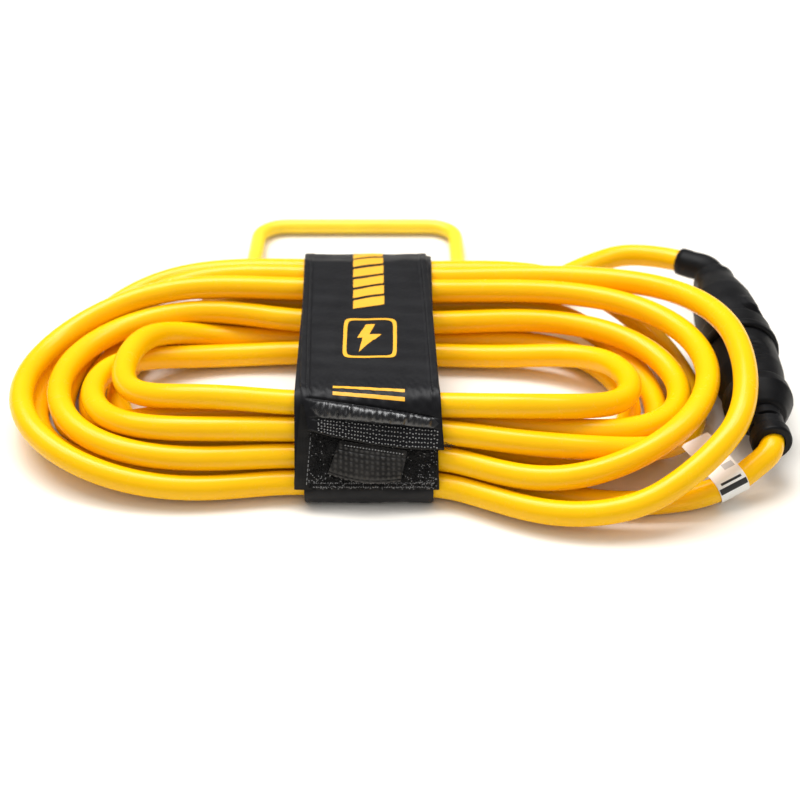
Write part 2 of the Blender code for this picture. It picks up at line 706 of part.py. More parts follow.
# ---------------------------------------------------------------- whole object
clear_scene()
PARTS = new_collection("shore_power_cord")
CUTTERS = new_collection("cutters", hidden=True)

plug_mount = add_empty("plug_slide", MATE_POINT)
handle_pivot = add_empty("handle_pivot", (HANDLE_SHIFT * MM, HANDLE_HINGE[0] * MM,
                                          HANDLE_HINGE[1] * MM))
flap_pivot = add_empty("flap_pivot", flap_hinge_point())
tab_pivot = add_empty("tab_pivot", tab_hinge_point())

build_cord()
build_plug(plug_mount)
build_socket()
build_strap(flap_pivot, tab_pivot)
build_handle(handle_pivot)
build_label(plug_mount)
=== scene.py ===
"""The looks of the shore power cord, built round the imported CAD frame.

Blender 4.5, +Z up, in the frame's own axes.  Lengths are millimetres until new_mesh turns them
into metres; the stage's lights and camera are in metres.
"""
import json
import math

import bpy
import numpy as np
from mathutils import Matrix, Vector


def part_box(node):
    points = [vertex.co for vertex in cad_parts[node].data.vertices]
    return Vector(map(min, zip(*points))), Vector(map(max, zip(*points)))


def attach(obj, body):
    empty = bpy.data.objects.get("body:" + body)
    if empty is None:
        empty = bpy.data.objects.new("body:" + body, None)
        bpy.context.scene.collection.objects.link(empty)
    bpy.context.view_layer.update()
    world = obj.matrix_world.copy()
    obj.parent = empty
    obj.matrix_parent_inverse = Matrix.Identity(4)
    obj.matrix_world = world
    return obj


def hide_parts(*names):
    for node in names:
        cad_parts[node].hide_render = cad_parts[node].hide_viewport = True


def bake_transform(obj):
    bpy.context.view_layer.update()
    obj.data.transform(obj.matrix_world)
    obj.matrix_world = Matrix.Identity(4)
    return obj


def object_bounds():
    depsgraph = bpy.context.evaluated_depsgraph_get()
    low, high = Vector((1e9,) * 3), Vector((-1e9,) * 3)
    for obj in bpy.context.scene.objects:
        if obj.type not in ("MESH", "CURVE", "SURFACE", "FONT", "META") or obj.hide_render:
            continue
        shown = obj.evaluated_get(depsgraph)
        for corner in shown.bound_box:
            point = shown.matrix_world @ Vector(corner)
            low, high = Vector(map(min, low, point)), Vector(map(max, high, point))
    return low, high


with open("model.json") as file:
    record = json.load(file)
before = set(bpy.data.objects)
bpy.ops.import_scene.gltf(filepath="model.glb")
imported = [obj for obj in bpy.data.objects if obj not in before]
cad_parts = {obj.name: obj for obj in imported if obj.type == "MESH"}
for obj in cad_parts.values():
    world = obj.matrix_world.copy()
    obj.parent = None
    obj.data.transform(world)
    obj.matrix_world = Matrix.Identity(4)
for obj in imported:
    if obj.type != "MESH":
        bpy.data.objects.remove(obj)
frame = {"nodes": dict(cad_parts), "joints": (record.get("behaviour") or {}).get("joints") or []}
CAD_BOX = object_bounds()

MM = 0.001
TAU = math.tau
UP = np.array([0.0, 0.0, 1.0])

# ---- cord ----
CORD_R = 8.0
CORE_R = 1.9
CORE_OFFSET = 2.35
CORE_ANGLES = {"hot": 150, "neutral": 30, "ground": 270}    # seen from the plug, degrees
CORE_TURNS = 52               # the conductors are laid in a helix along the cord
PATH_STEP = 5.0
SOCKET_LEAD = (58.0, 72.0, 84.4)      # straight stretches along the mating axis
PLUG_LEAD = (-84.0, -48.0)
STRAND_GAP = 16.5             # least distance between two centre lines
FLOOR_Z = 8.05
STIFFNESS = 170              # smoothing steps between two settlings
HELD_X = 44.0                 # the strands are held under the strap
SOCKET_SAG = 8.0              # how far the cord droops to the front just behind the socket
TAIL_LIFT = 6.5               # how far the tail is drawn back just past the plug's boot
OUTER_PULL = (7.5, -10.0, -7.0)       # the outermost loop is drawn to the front right
OUTER_FROM = (2960, 3070)     # lengths along the cord where that pull grows and fades
OUTER_TO = (3125, 3215)
TAIL_SPLIT_X = 96.0           # the last strand is its own piece from here to the plug
TAIL_FOLLOWS_PLUG_X = 214.0

# ---- plug and socket ----
JOINTS = {j["name"]: j for j in frame["joints"]}
AXIS = -np.array(JOINTS["plug_withdraw"]["axis"], float)    # from plug to socket
SIDE = np.cross(UP, AXIS)
BRIDGE_MIDDLE = -11.4         # of the plug's face insert, from the mating plane
PLUG_OUTSIDE = [(-0.15, 22.2), (-1.4, 23.3), (-21.0, 23.3), (-22.6, 23.9), (-34, 23.6),
                (-50, 23.0), (-60, 21.4), (-67.2, 20.0), (-68.6, 20.2), (-70.0, 22.6),
                (-78.6, 22.9), (-81.0, 21.8), (-87, 18.8), (-92.5, 15.4), (-93.4, 14.0)]
PLUG_INSIDE = [(-93.4, 8.5), (-47, 8.5), (-44, 14.0), (-22.5, 14.0), (-22.5, 16.3),
               (-0.15, 16.3)]
BOOT_OUTSIDE = [(-93.6, 12.2), (-109.5, 11.4), (-111.0, 11.6), (-112.0, 13.2), (-119.5, 13.2),
                (-120.8, 12.2)]
BOOT_INSIDE = [(-120.8, 8.5), (-93.6, 8.5)]
BOOT_SLOTS = (-96.6, -101.6, -106.6)
SOCKET_OUTSIDE = [(-19.6, 25.2), (-18.8, 26.5), (-14.0, 26.5), (-12.8, 25.6), (0.6, 25.2),
                  (2.0, 24.0), (10, 23.8), (33, 22.2), (44, 21.0), (56, 18.2), (66, 15.6),
                  (69, 15.0), (76.5, 14.8), (78.4, 13.4)]
SOCKET_INSIDE = [(78.4, 8.5), (57, 8.5), (53, 14.0), (32, 14.0), (32, 20.3), (0.15, 20.3),
                 (0.15, 23.9), (-19.6, 23.9)]
SOCKET_BOOT_R = 10.0

# ---- strap: x across, t round the wrap from its front foot, h outward from the wrap ----
WRAP_OFFSET = 4.7             # the wrap's own line, from the strands' surfaces
BAND_H = (-3.0, -1.8)         # inner and outer faces
LOOP_H = (-1.5, -0.5)
FLAP_EDGE = [(-36, 62.4), (-19, 58.2), (4.5, 53.4), (24.5, 50.9), (50, 50)]    # x, t
COVER_LEFT = [(50, -34.6), (62, -35.2), (74, -37), (90, -40.6), (150, -42.5), (279, -45.5)]
COVER_RIGHT = [(50, 49.6), (62, 48.6), (95, 46.5), (139, 45.3), (200, 43.6), (279, 40.6)]
COVER_BACK = 322.0
RIDGE = [(-34, 75.6), (6, 71.0), (46, 66.0)]    # x, t of the puffed hem's crest
RIDGE_HALF = [(-30, 5.2), (10, 4.6), (44, 3.3)]    # x, half width of the puffed hem
HEM = 5.2
TAB_CELL = (3.3, 2.75)        # one crossing of the tab's heavy webbing
LOOP_COUNT = 3000
LOOP_R = 0.24                 # half thickness of one loop of the pile
KEEPER_LEFT = -30.0
KEEPER_RIGHT = 26.0

# ---- print on the strap, in x and t ----
BAR_COUNT = 7
BAR_FIRST_T = 192.0
BAR_PITCH = 15.0
BAR_HALF = 10.4               # half the bars' width
BAR_RISE = 6.5                # how much each bar slants
BAR_TALL = 11.5
BOX_MIDDLE = (2.4, 153.0)
BOX_HALF = (17.5, 26.0)
BOX_LINE = 2.4
STRIPES = ((-20.0, 25.0, 91.0), (-20.0, 25.0, 85.0))     # left, right, t
STRIPE_HALF = 1.3
STRIPE_LEAN = -0.09           # slope of the stripes, along the strap's slanted end

# ---- handle and label ----
HANDLE_R = 5.5
HANDLE_CORNER = 21.0
HANDLE_TAPER = 0.02           # narrower at its far bar by this share
HANDLE_FLARE = 0.03           # wider on the right by this share
HANDLE_BOW = 1.2              # how far the legs bow out of plane, clear of the coil when raised
LABEL_X = 230.0
LABEL_WIDTH = 20.0
LABEL_FLAG = 40.0
LABEL_INK_H = (0.1, 0.22)     # the printing's lower and upper faces

COLOURS = {
    "cord": (1.0, 0.52, 0.0008),
    "cord_pale": (1.0, 0.57, 0.0012),
    "handle": (1.0, 0.68, 0.03),
    "ink": (0.92, 0.45, 0.015),
    "rubber": (0.004, 0.004, 0.0045),
    "satin": (0.006, 0.006, 0.007),
    "webbing": (0.006, 0.0055, 0.005),
    "pile": (0.004, 0.004, 0.004),
    # Raised to a light grey so the stitches show as bright dots: partly a painted highlight
    # standing in for the glossy thread's sheen.
    "thread": (0.20, 0.20, 0.20),
    "seam": (0.02, 0.02, 0.02),
}


# ---------------------------------------------------------------- numbers
def smooth_step(a, b, x):
    t = np.clip((np.asarray(x, float) - a) / (b - a), 0, 1)
    return t * t * (3 - 2 * t)


def along(table, x):
    """A value read off a table of (x, value) pairs."""
    return np.interp(x, [p[0] for p in table], [p[1] for p in table])


def unit(v):
    v = np.asarray(v, float)
    return v / np.maximum(np.linalg.norm(v, axis=-1, keepdims=True), 1e-12)


def arc_lengths(points):
    return np.concatenate([[0.0], np.cumsum(np.linalg.norm(np.diff(points, axis=0), axis=1))])


def resample(points, step):
    """Evenly spaced points on a smooth curve through the given ones."""
    p = np.asarray(points, float)
    first = 2 * p[0] - p[1]
    last = 2 * p[-1] - p[-2]
    q = np.vstack([first, p, last])
    f = np.linspace(0, 1, 12, endpoint=False)[:, None]
    a, b, c, d = (q[k:len(q) - 3 + k][:, None, :] for k in range(4))
    curve = 0.5 * (2 * b + (c - a) * f + (2 * a - 5 * b + 4 * c - d) * f ** 2
                   + (3 * b - a - 3 * c + d) * f ** 3)
    curve = np.vstack([curve.reshape(-1, p.shape[1]), p[-1:]])
    s = arc_lengths(curve)
    even = np.linspace(0, s[-1], max(2, int(round(s[-1] / step)) + 1))
    return np.stack([np.interp(even, s, curve[:, k]) for k in range(p.shape[1])], 1)


def densify(points, step):
    """The same straight runs with extra points along them."""
    out = [points[:1]]
    for a, b in zip(points, points[1:]):
        count = max(1, int(math.ceil(np.linalg.norm(b - a) / step)))
        f = np.linspace(0, 1, count + 1)[1:, None]
        out.append(a + (b - a) * f)
    return np.vstack(out)


def fillet(points, radius, steps=4):
    """The open polyline with each corner rounded."""
    p = [np.array(v, float) for v in points]
    out = [p[0]]
    for a, b, c in zip(p, p[1:], p[2:]):
        reach = min(radius, 0.45 * np.linalg.norm(a - b), 0.45 * np.linalg.norm(c - b))
        start = b + unit(a - b) * reach
        stop = b + unit(c - b) * reach
        for k in range(steps + 1):
            f = k / steps
            out.append((1 - f) ** 2 * start + 2 * f * (1 - f) * b + f * f * stop)
    out.append(p[-1])
    return np.array(out)


def ripples(x, t, seed, count, longest, shortest, slant=(0, TAU)):
    """Gentle uneven waves of about unit height, the same on each run."""
    rng = np.random.RandomState(seed)
    total = np.zeros(np.broadcast(x, t).shape)
    for length in np.geomspace(longest, shortest, count):
        turn = rng.uniform(*slant)
        phase = rng.uniform(0, TAU)
        total = total + np.sin((x * math.cos(turn) + t * math.sin(turn)) * TAU / length + phase)
    return total / math.sqrt(count)


# ---------------------------------------------------------------- meshes
def new_mesh(name, verts, faces, material, uv=None, sharp=None):
    """A smooth mesh object from millimetre points; uv holds one (u, v) per face corner."""
    mesh = bpy.data.meshes.new(name)
    mesh.from_pydata((np.asarray(verts) * MM).tolist(), [], [list(f) for f in faces])
    mesh.polygons.foreach_set("use_smooth", [True] * len(mesh.polygons))
    if uv is not None:
        layer = mesh.uv_layers.new(name="UVMap")
        layer.data.foreach_set("uv", np.asarray(uv, np.float32).ravel())
    if sharp is not None:
        mesh.set_sharp_from_angle(angle=math.radians(sharp))
    mesh.materials.append(material)
    mesh.update()
    ob = bpy.data.objects.new(name, mesh)
    bpy.context.scene.collection.objects.link(ob)
    return ob


def grid_faces(rows, cols, wrap_rows=False, wrap_cols=False):
    """Quads over a grid of points, with the unwrapped (row, column) of each face corner."""
    i, j = np.meshgrid(np.arange(rows - (not wrap_rows)), np.arange(cols - (not wrap_cols)),
                       indexing="ij")
    i = i.ravel()
    j = j.ravel()
    ci = np.stack([i, i, i + 1, i + 1], 1)
    cj = np.stack([j, j + 1, j + 1, j], 1)
    return (ci % rows) * cols + cj % cols, ci, cj


def frames(points):
    """Twist-free axes along a line: tangents, normals and sides."""
    tangent = unit(np.gradient(points, axis=0))
    normal = np.zeros_like(points)
    now = UP
    for k, t in enumerate(tangent):
        now = unit(now - t * (now @ t))
        normal[k] = now
    return tangent, normal, np.cross(tangent, normal)


def tube(name, points, radius, sides, material, axes=None):
    """A round tube along the line, closed flat at both ends."""
    _, normal, side = axes or frames(points)
    radius = np.broadcast_to(np.asarray(radius, float), (len(points),))
    angle = np.linspace(0, TAU, sides, endpoint=False)
    ring = (np.cos(angle)[None, :, None] * normal[:, None, :]
            + np.sin(angle)[None, :, None] * side[:, None, :])
    verts = (points[:, None, :] + ring * radius[:, None, None]).reshape(-1, 3)
    faces, ci, cj = grid_faces(len(points), sides, wrap_cols=True)
    s = arc_lengths(points)
    uv = np.stack([cj / sides, s[ci] / 100.0], -1).reshape(-1, 2)
    faces = [list(map(int, f)) for f in faces]
    count = len(verts)
    faces.append(list(range(sides))[::-1])
    faces.append(list(range(count - sides, count)))
    uv = np.vstack([uv, np.zeros((2 * sides, 2))])
    return new_mesh(name, verts, faces, material, uv)


def join(name, parts):
    """One object out of several."""
    for ob in bpy.context.selected_objects:
        ob.select_set(False)
    for ob in parts:
        ob.select_set(True)
    bpy.context.view_layer.objects.active = parts[0]
    bpy.ops.object.join()
    parts[0].name = name
    parts[0].data.name = name
    return parts[0]


def spindles(name, starts, stops, radius, material, sides=6):
    """Short thick threads, one from each start to its stop, tapered at both ends."""
    starts = np.asarray(starts, float)
    stops = np.asarray(stops, float)
    d = unit(stops - starts)
    a = unit(np.cross(d, UP + 0.01))
    b = np.cross(d, a)
    angle = np.linspace(0, TAU, sides, endpoint=False)
    verts = []
    for f, r in ((0.0, 0.35), (0.2, 0.9), (0.5, 1.0), (0.8, 0.9), (1.0, 0.35)):
        centre = starts + (stops - starts) * f
        ring = (np.cos(angle)[None, :, None] * a[:, None, :]
                + np.sin(angle)[None, :, None] * b[:, None, :])
        verts.append(centre[:, None, :] + ring * r * radius)
    verts = np.stack(verts, 1)
    one, _, _ = grid_faces(5, sides, wrap_cols=True)
    one = [list(map(int, f)) for f in one] + [list(range(sides))[::-1],
                                              list(range(4 * sides, 5 * sides))]
    faces = []
    for k in range(len(starts)):
        faces += [[v + k * 5 * sides for v in f] for f in one]
    return new_mesh(name, verts.reshape(-1, 3), faces, material)


# ---------------------------------------------------------------- materials
def node(tree, kind, links, **settings):
    made = tree.nodes.new("ShaderNode" + kind)
    for key, value in settings.items():
        setattr(made, key, value)
    for key, value in links.items():
        if isinstance(value, bpy.types.NodeSocket):
            tree.links.new(value, made.inputs[key])
        else:
            made.inputs[key].default_value = value
    return made


def coordinates(tree, source="Object", scale=(1, 1, 1)):
    texture = node(tree, "TexCoord", {})
    return node(tree, "Mapping", {"Vector": texture.outputs[source], "Scale": scale}).outputs[0]


def noise(tree, vector, scale, detail=3.0, rough=0.5):
    made = node(tree, "TexNoise", {"Vector": vector, "Scale": scale, "Detail": detail,
                                   "Roughness": rough})
    return made.outputs["Fac"]


def remap(tree, value, low, high, start=0.3, stop=0.7):
    return node(tree, "MapRange", {"Value": value, "From Min": start, "From Max": stop,
                                   "To Min": low, "To Max": high}).outputs["Result"]


def mix(tree, factor, a, b):
    made = node(tree, "Mix", {}, data_type="RGBA")
    for socket, value in ((made.inputs[0], factor), (made.inputs[6], a), (made.inputs[7], b)):
        if isinstance(value, bpy.types.NodeSocket):
            tree.links.new(value, socket)
        elif isinstance(value, tuple):
            socket.default_value = (*value, 1.0)
        else:
            socket.default_value = value
    return made.outputs[2]


def maths(tree, operation, a, b=0.0):
    return node(tree, "Math", {0: a, 1: b}, operation=operation).outputs[0]


def bump(tree, height, strength, distance, normal=None):
    links = {"Height": height, "Strength": strength, "Distance": distance}
    if normal:
        links["Normal"] = normal
    return node(tree, "Bump", links).outputs[0]


def finish(started, colour, roughness, normal=None, **more):
    """Wires a begun material's shader. Sockets are linked, numbers are set."""
    mat, tree = started
    shader = tree.nodes["Principled BSDF"]
    values = {"Base Color": colour, "Roughness": roughness, **more}
    if normal:
        values["Normal"] = normal
    for key, value in values.items():
        if isinstance(value, bpy.types.NodeSocket):
            tree.links.new(value, shader.inputs[key])
        elif isinstance(value, tuple):
            shader.inputs[key].default_value = (*value, 1.0)
        else:
            shader.inputs[key].default_value = value
    return mat


def begin(name):
    mat = bpy.data.materials.new(name)
    mat.use_nodes = True
    return mat, mat.node_tree


def pvc(name, dark, pale):
    """Extruded jacket: faint lengthwise drawing lines, soft mottle, a few dull scuffs."""
    started = begin(name)
    tree = started[1]
    place = coordinates(tree)
    drawn = coordinates(tree, "UV", (60.0, 0.8, 1.0))
    mottle = noise(tree, place, 22.0, 4.0)
    lines = noise(tree, drawn, 1.0, 2.0)
    scuff = noise(tree, place, 160.0, 5.0, 0.7)
    colour = mix(tree, remap(tree, mottle, 0.0, 1.0), dark, pale)
    dull = remap(tree, scuff, 0.0, 0.08, 0.58, 0.72)
    colour = mix(tree, dull, colour, tuple(0.72 * c for c in dark))
    rough = maths(tree, "ADD", remap(tree, mottle, 0.20, 0.26), remap(tree, scuff, 0.0, 0.15,
                                                                     0.55, 0.75))
    grain = noise(tree, place, 900.0, 2.0)
    normal = bump(tree, lines, 0.06, 0.0004)
    normal = bump(tree, grain, 0.03, 0.0002, normal)
    return finish(started, colour, rough, normal, **{"Specular IOR Level": 0.26})


def rubber(name, colour, rough=0.46):
    """Moulded black PVC: a matt spark-eroded grain with polished high spots."""
    started = begin(name)
    tree = started[1]
    place = coordinates(tree)
    grain = noise(tree, place, 1500.0, 3.0, 0.6)
    cloud = noise(tree, place, 45.0, 4.0)
    dusty = tuple(c * 1.9 + 0.004 for c in colour)
    tint = mix(tree, remap(tree, cloud, 0.0, 1.0), colour, dusty)
    roughness = remap(tree, cloud, rough - 0.07, rough + 0.08)
    normal = bump(tree, grain, 0.22, 0.0003)
    normal = bump(tree, noise(tree, place, 220.0, 2.0), 0.08, 0.0006, normal)
    return finish(started, tint, roughness, normal, **{"Specular IOR Level": 0.14})


def cloth(name, colour, pitch, rough, depth, shine, lift=1.9):
    """Woven cloth: rounded crossings at the given pitch (across, along) in mm, with slubs. The
    crossings' raised crowns are painted lighter, a painted highlight.
    """
    started = begin(name)
    tree = started[1]
    parts = node(tree, "SeparateXYZ", {0: coordinates(tree, "UV", (100.0, 100.0, 100.0))})
    wave = []
    for axis in (0, 1):
        turned = maths(tree, "MULTIPLY", parts.outputs[axis], math.pi / pitch[axis])
        wave.append(maths(tree, "ABSOLUTE", maths(tree, "SINE", turned)))
    weave = maths(tree, "MULTIPLY", wave[0], wave[1])
    slub = noise(tree, coordinates(tree, "UV", (100.0, 9.0, 1.0)), 1.4 / pitch[0], 3.0)
    cloud = noise(tree, coordinates(tree), 60.0, 4.0)
    # The paler colour serves both random cloud tone and a painted highlight on the raised yarn
    # crossings.
    pale_and_highlit = tuple(min(1.0, c * lift) for c in colour)
    tint = mix(tree, remap(tree, cloud, 0.0, 0.5), colour, pale_and_highlit)
    # Painted highlight: the raised yarn crossings are painted towards the paler colour.
    tint = mix(tree, remap(tree, weave, 0.0, 1.0, 0.5, 0.85), tint, pale_and_highlit)
    height = maths(tree, "ADD", weave, maths(tree, "MULTIPLY", slub, 0.8))
    normal = bump(tree, height, depth, 0.0003)
    roughness = maths(tree, "ADD", remap(tree, cloud, rough - 0.06, rough + 0.06),
                      remap(tree, slub, -0.03, 0.05))
    return finish(started, tint, roughness, normal,
                  **{"Sheen Weight": 0.03, "Sheen Roughness": 0.4, "Specular IOR Level": shine})


def fuzz(name, colour):
    """Matt tangled pile."""
    started = begin(name)
    tree = started[1]
    place = coordinates(tree)
    tangle = noise(tree, place, 900.0, 6.0, 0.75)
    cells = node(tree, "TexVoronoi", {"Vector": place, "Scale": 420.0}).outputs["Distance"]
    tint = mix(tree, remap(tree, tangle, 0.0, 1.0, 0.42, 0.66), colour,
               tuple(c * 2.5 for c in colour))
    normal = bump(tree, tangle, 0.5, 0.0008)
    normal = bump(tree, cells, 0.4, 0.0006, normal)
    return finish(started, tint, remap(tree, tangle, 0.3, 0.45), normal,
                  **{"Specular IOR Level": 0.35})


def ink(name, colour):
    """Screen print: a thin even film, a little broken over the weave below it."""
    started = begin(name)
    tree = started[1]
    place = coordinates(tree)
    patchy = noise(tree, place, 500.0, 4.0)
    tint = mix(tree, remap(tree, patchy, 0.0, 0.35), colour, tuple(c * 0.8 for c in colour))
    return finish(started, tint, remap(tree, patchy, 0.45, 0.6),
                  bump(tree, patchy, 0.25, 0.0002))


def metal(name, colour, rough):
    """Drawn brass with fine lengthwise scratches and a light tarnish."""
    started = begin(name)
    tree = started[1]
    place = coordinates(tree)
    scratch = noise(tree, coordinates(tree, "Object", (900.0, 40.0, 900.0)), 1.0, 4.0)
    tarnish = noise(tree, place, 180.0, 4.0)
    tint = mix(tree, remap(tree, tarnish, 0.0, 0.5), colour, tuple(c * 0.6 for c in colour))
    return finish(started, tint, remap(tree, scratch, rough, rough + 0.18),
                  bump(tree, scratch, 0.15, 0.0002), Metallic=1.0)


def plastic(name, colour, rough=0.35):
    """Injection-moulded plastic: faint flow marks and a fine texture."""
    started = begin(name)
    tree = started[1]
    place = coordinates(tree)
    flow = noise(tree, coordinates(tree, "Object", (1.0, 3.0, 1.0)), 30.0, 4.0)
    fine = noise(tree, place, 1100.0, 2.0)
    tint = mix(tree, remap(tree, flow, 0.0, 1.0), colour, tuple(min(1.0, c * 1.12) for c in colour))
    normal = bump(tree, fine, 0.1, 0.0002)
    normal = bump(tree, flow, 0.1, 0.0008, normal)
    return finish(started, tint, remap(tree, flow, rough - 0.05, rough + 0.1), normal)


MATERIALS = {
    "cord": pvc("cord_pvc", COLOURS["cord"], COLOURS["cord_pale"]),
    "handle": plastic("handle_plastic", COLOURS["handle"]),
    "rubber": rubber("moulded_rubber", COLOURS["rubber"]),
    "insert": plastic("insert_plastic", (0.03, 0.03, 0.033), 0.4),
    "brass": metal("terminal_brass", (0.80, 0.58, 0.26), 0.2),
    "hot": plastic("core_black", (0.02, 0.02, 0.02)),
    "neutral": plastic("core_white", (0.82, 0.82, 0.78)),
    "ground": plastic("core_green", (0.02, 0.30, 0.08)),
    "satin": cloth("satin_nylon", COLOURS["satin"], (0.55, 0.55), 0.38, 0.2, 0.22),
    "puffed": cloth("puffed_satin", COLOURS["satin"], (0.55, 0.55), 0.26, 0.2, 1.0),
    "webbing": cloth("webbing_nylon", COLOURS["webbing"], (0.9, 0.9), 0.45, 0.4, 0.3),
    # The tab's lift of 7.0 paints its yarn crossings far lighter: a painted highlight on its ribs.
    "tab": cloth("tab_webbing", COLOURS["webbing"], TAB_CELL, 0.4, 0.5, 0.35, 7.0),
    "seam": cloth("seam_thread", COLOURS["seam"], (0.4, 0.4), 0.4, 0.3, 0.5),
    "pile": fuzz("loop_pile", COLOURS["pile"]),
    "thread": cloth("sewing_thread_highlit", COLOURS["thread"], (0.4, 0.4), 0.35, 0.3, 0.9),
    "ink": ink("yellow_ink", COLOURS["ink"]),
    "label": plastic("label_vinyl", (0.86, 0.86, 0.84), 0.4),
    "label_grey": plastic("label_grey", (0.42, 0.42, 0.41), 0.3),
    "label_ink": ink("label_ink", (0.03, 0.03, 0.03)),
}


def dress(ob, body, slot, *nodes):
    """Rides a finished piece on its body, in place of the CAD nodes it stands for."""
    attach(ob, body)
    if nodes:
        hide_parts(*nodes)
    return ob


def bend(ob, a, b, start, end, slot, *nodes):
    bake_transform(ob)
    if nodes:
        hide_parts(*nodes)
    return ob


# ---------------------------------------------------------------- the cord's centre line
def node_middle(name):
    low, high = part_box(name)
    return np.array((low + high) / 2) / MM


MATE = node_middle("plug_bridge") - AXIS * BRIDGE_MIDDLE


def on_axis(x, y, s):
    """A place given sideways, up and along the mating axis from the mating plane."""
    return MATE + SIDE * x + UP * y + AXIS * s


def ring_centres(name, start=None):
    """The centre line of a tubular CAD node, ring by ring from the end nearest start, or
    from the end with the least x."""
    mesh = frame["nodes"][name].data
    co = np.array([v.co for v in mesh.vertices]) / MM
    _, index, weld = np.unique(np.round(co * 1000).astype(int), axis=0, return_index=True,
                               return_inverse=True)
    weld = weld.ravel()
    place = co[index]
    near = [set() for _ in place]
    for edge in mesh.edges:
        a, b = weld[edge.vertices[0]], weld[edge.vertices[1]]
        near[a].add(b)
        near[b].add(a)
    if start is None:
        ends = place[:, 0] < place[:, 0].min() + CORD_R
    else:
        ends = np.linalg.norm(place - start, axis=1) < 1.5 * CORD_R
    level = set(np.nonzero(ends)[0])
    seen = set(level)
    centres = []
    while level:
        centres.append(place[list(level)].mean(0))
        level = set().union(*(near[v] for v in level)) - seen
        seen |= level
    return np.array(centres)


def within(points, low, high):
    """Which points aren't on the mating axis inside the plug or the socket."""
    s = (points - MATE) @ AXIS
    off = np.linalg.norm(points - MATE - s[:, None] * AXIS, axis=1)
    return (off > 4.0) | ((s > low) & (s < high))


def push_pairs(line, free, gap, pairs):
    """Moves each pair of points that is too close apart, the held ones staying put."""
    a, b = pairs
    vector = line[a] - line[b]
    distance = np.linalg.norm(vector, axis=1)
    near = distance < gap
    a, b, vector, distance = a[near], b[near], vector[near], distance[near]
    share = free[a] + free[b]
    push = vector / distance[:, None] * ((gap - distance) / np.maximum(share, 1))[:, None]
    move = np.zeros_like(line)
    count = np.ones(len(line))
    np.add.at(move, a, push * free[a][:, None])
    np.add.at(move, b, -push * free[b][:, None])
    np.add.at(count, a, 0.5)
    np.add.at(count, b, 0.5)
    return line + move / count[:, None]


def push_off(line, rows, capsule):
    """Moves the given rows out of a capsule (start, stop, radius)."""
    start, stop, radius = capsule
    d = stop - start
    f = np.clip((line[rows] - start) @ d / (d @ d), 0, 1)
    vector = line[rows] - start - f[:, None] * d
    distance = np.linalg.norm(vector, axis=1)
    short = np.maximum(radius + CORD_R - distance, 0)
    line[rows] += vector / np.maximum(distance, 1e-6)[:, None] * short[:, None]


def settle(line, held, movable, capsules, rounds=26):
    """Fairs the line like a springy rod, its strands kept apart and off the floor."""
    line = line.copy()
    free = (~held).astype(float)
    first, other = np.triu_indices(len(line), 7)
    for step in range(rounds):
        for _ in range(STIFFNESS):
            second = line[:-2] - 2 * line[1:-1] + line[2:]
            fourth = second[:-2] - 2 * second[1:-1] + second[2:]
            line[2:-2] -= 0.055 * fourth * free[2:-2, None]
        if step % 4 == 0:
            square = (line * line).sum(1)
            apart = square[first] + square[other] - 2 * (line @ line.T)[first, other]
            close = apart < (STRAND_GAP + 8) ** 2
            pairs = (first[close], other[close])
        for _ in range(14):
            line = push_pairs(line, free, STRAND_GAP, pairs)
            for capsule in capsules:
                push_off(line, movable, capsule)
            line[:, 2] = np.where(held, line[:, 2], np.maximum(line[:, 2], FLOOR_Z))
    eased = line.copy()
    eased[1:-1] = 0.5 * line[1:-1] + 0.25 * (line[:-2] + line[2:])
    return np.where(held[:, None], line, eased)


def cord_line():
    """The whole centre line, from inside the socket to inside the plug."""
    tail = ring_centres("plug_tail_jacket")
    coil = ring_centres("cord_jacket", tail[0])[::-1]
    coil = np.vstack([[on_axis(0, 0, s) for s in SOCKET_LEAD], coil[within(coil, 88, 200)]])
    tail = np.vstack([tail[within(tail, -200, -118)], [on_axis(0, 0, s) for s in PLUG_LEAD]])
    line = resample(densify(np.vstack([coil, tail]), 12.0), PATH_STEP)
    s = arc_lengths(line)
    tail_length = arc_lengths(tail)[-1]
    on_tail = s > s[-1] - tail_length
    under_strap = (np.abs(line[:, 0]) < HELD_X) & ~on_tail
    held = under_strap | (s < 62) | (s > s[-1] - 72)
    movable = np.nonzero(~held & ~on_tail)[0]
    capsules = [(on_axis(0, 0, -118), on_axis(0, 0, -88), 14.0),
                (on_axis(0, 0, -70), on_axis(0, 0, -56), 25.3),
                (on_axis(0, 0, -56), on_axis(0, 0, -6), 23.2),
                (on_axis(0, 0, 0), on_axis(0, 0, 8), 28.2),
                (on_axis(0, 0, 8), on_axis(0, 0, 36), 26.4),
                (on_axis(0, 0, 36), on_axis(0, 0, 66), 24.4)]
    line = settle(line, held, movable, capsules)
    s = arc_lengths(line)
    line[:, 1] -= SOCKET_SAG * smooth_step(34, 60, s) * (1 - smooth_step(72, 118, s))
    pull = smooth_step(*OUTER_FROM, s) * (1 - smooth_step(*OUTER_TO, s))
    line += pull[:, None] * np.array(OUTER_PULL)
    s = s[-1] - s
    line[:, 1] += TAIL_LIFT * smooth_step(72, 100, s) * (1 - smooth_step(150, 215, s))
    return line, on_tail


LINE, ON_TAIL = cord_line()
AXES = frames(LINE)
LENGTHS = arc_lengths(LINE)
SPLIT = len(LINE) - 1
while LINE[SPLIT, 0] > TAIL_SPLIT_X or ON_TAIL[SPLIT]:
    SPLIT -= 1


def axes_of(rows):
    return tuple(a[rows] for a in AXES)


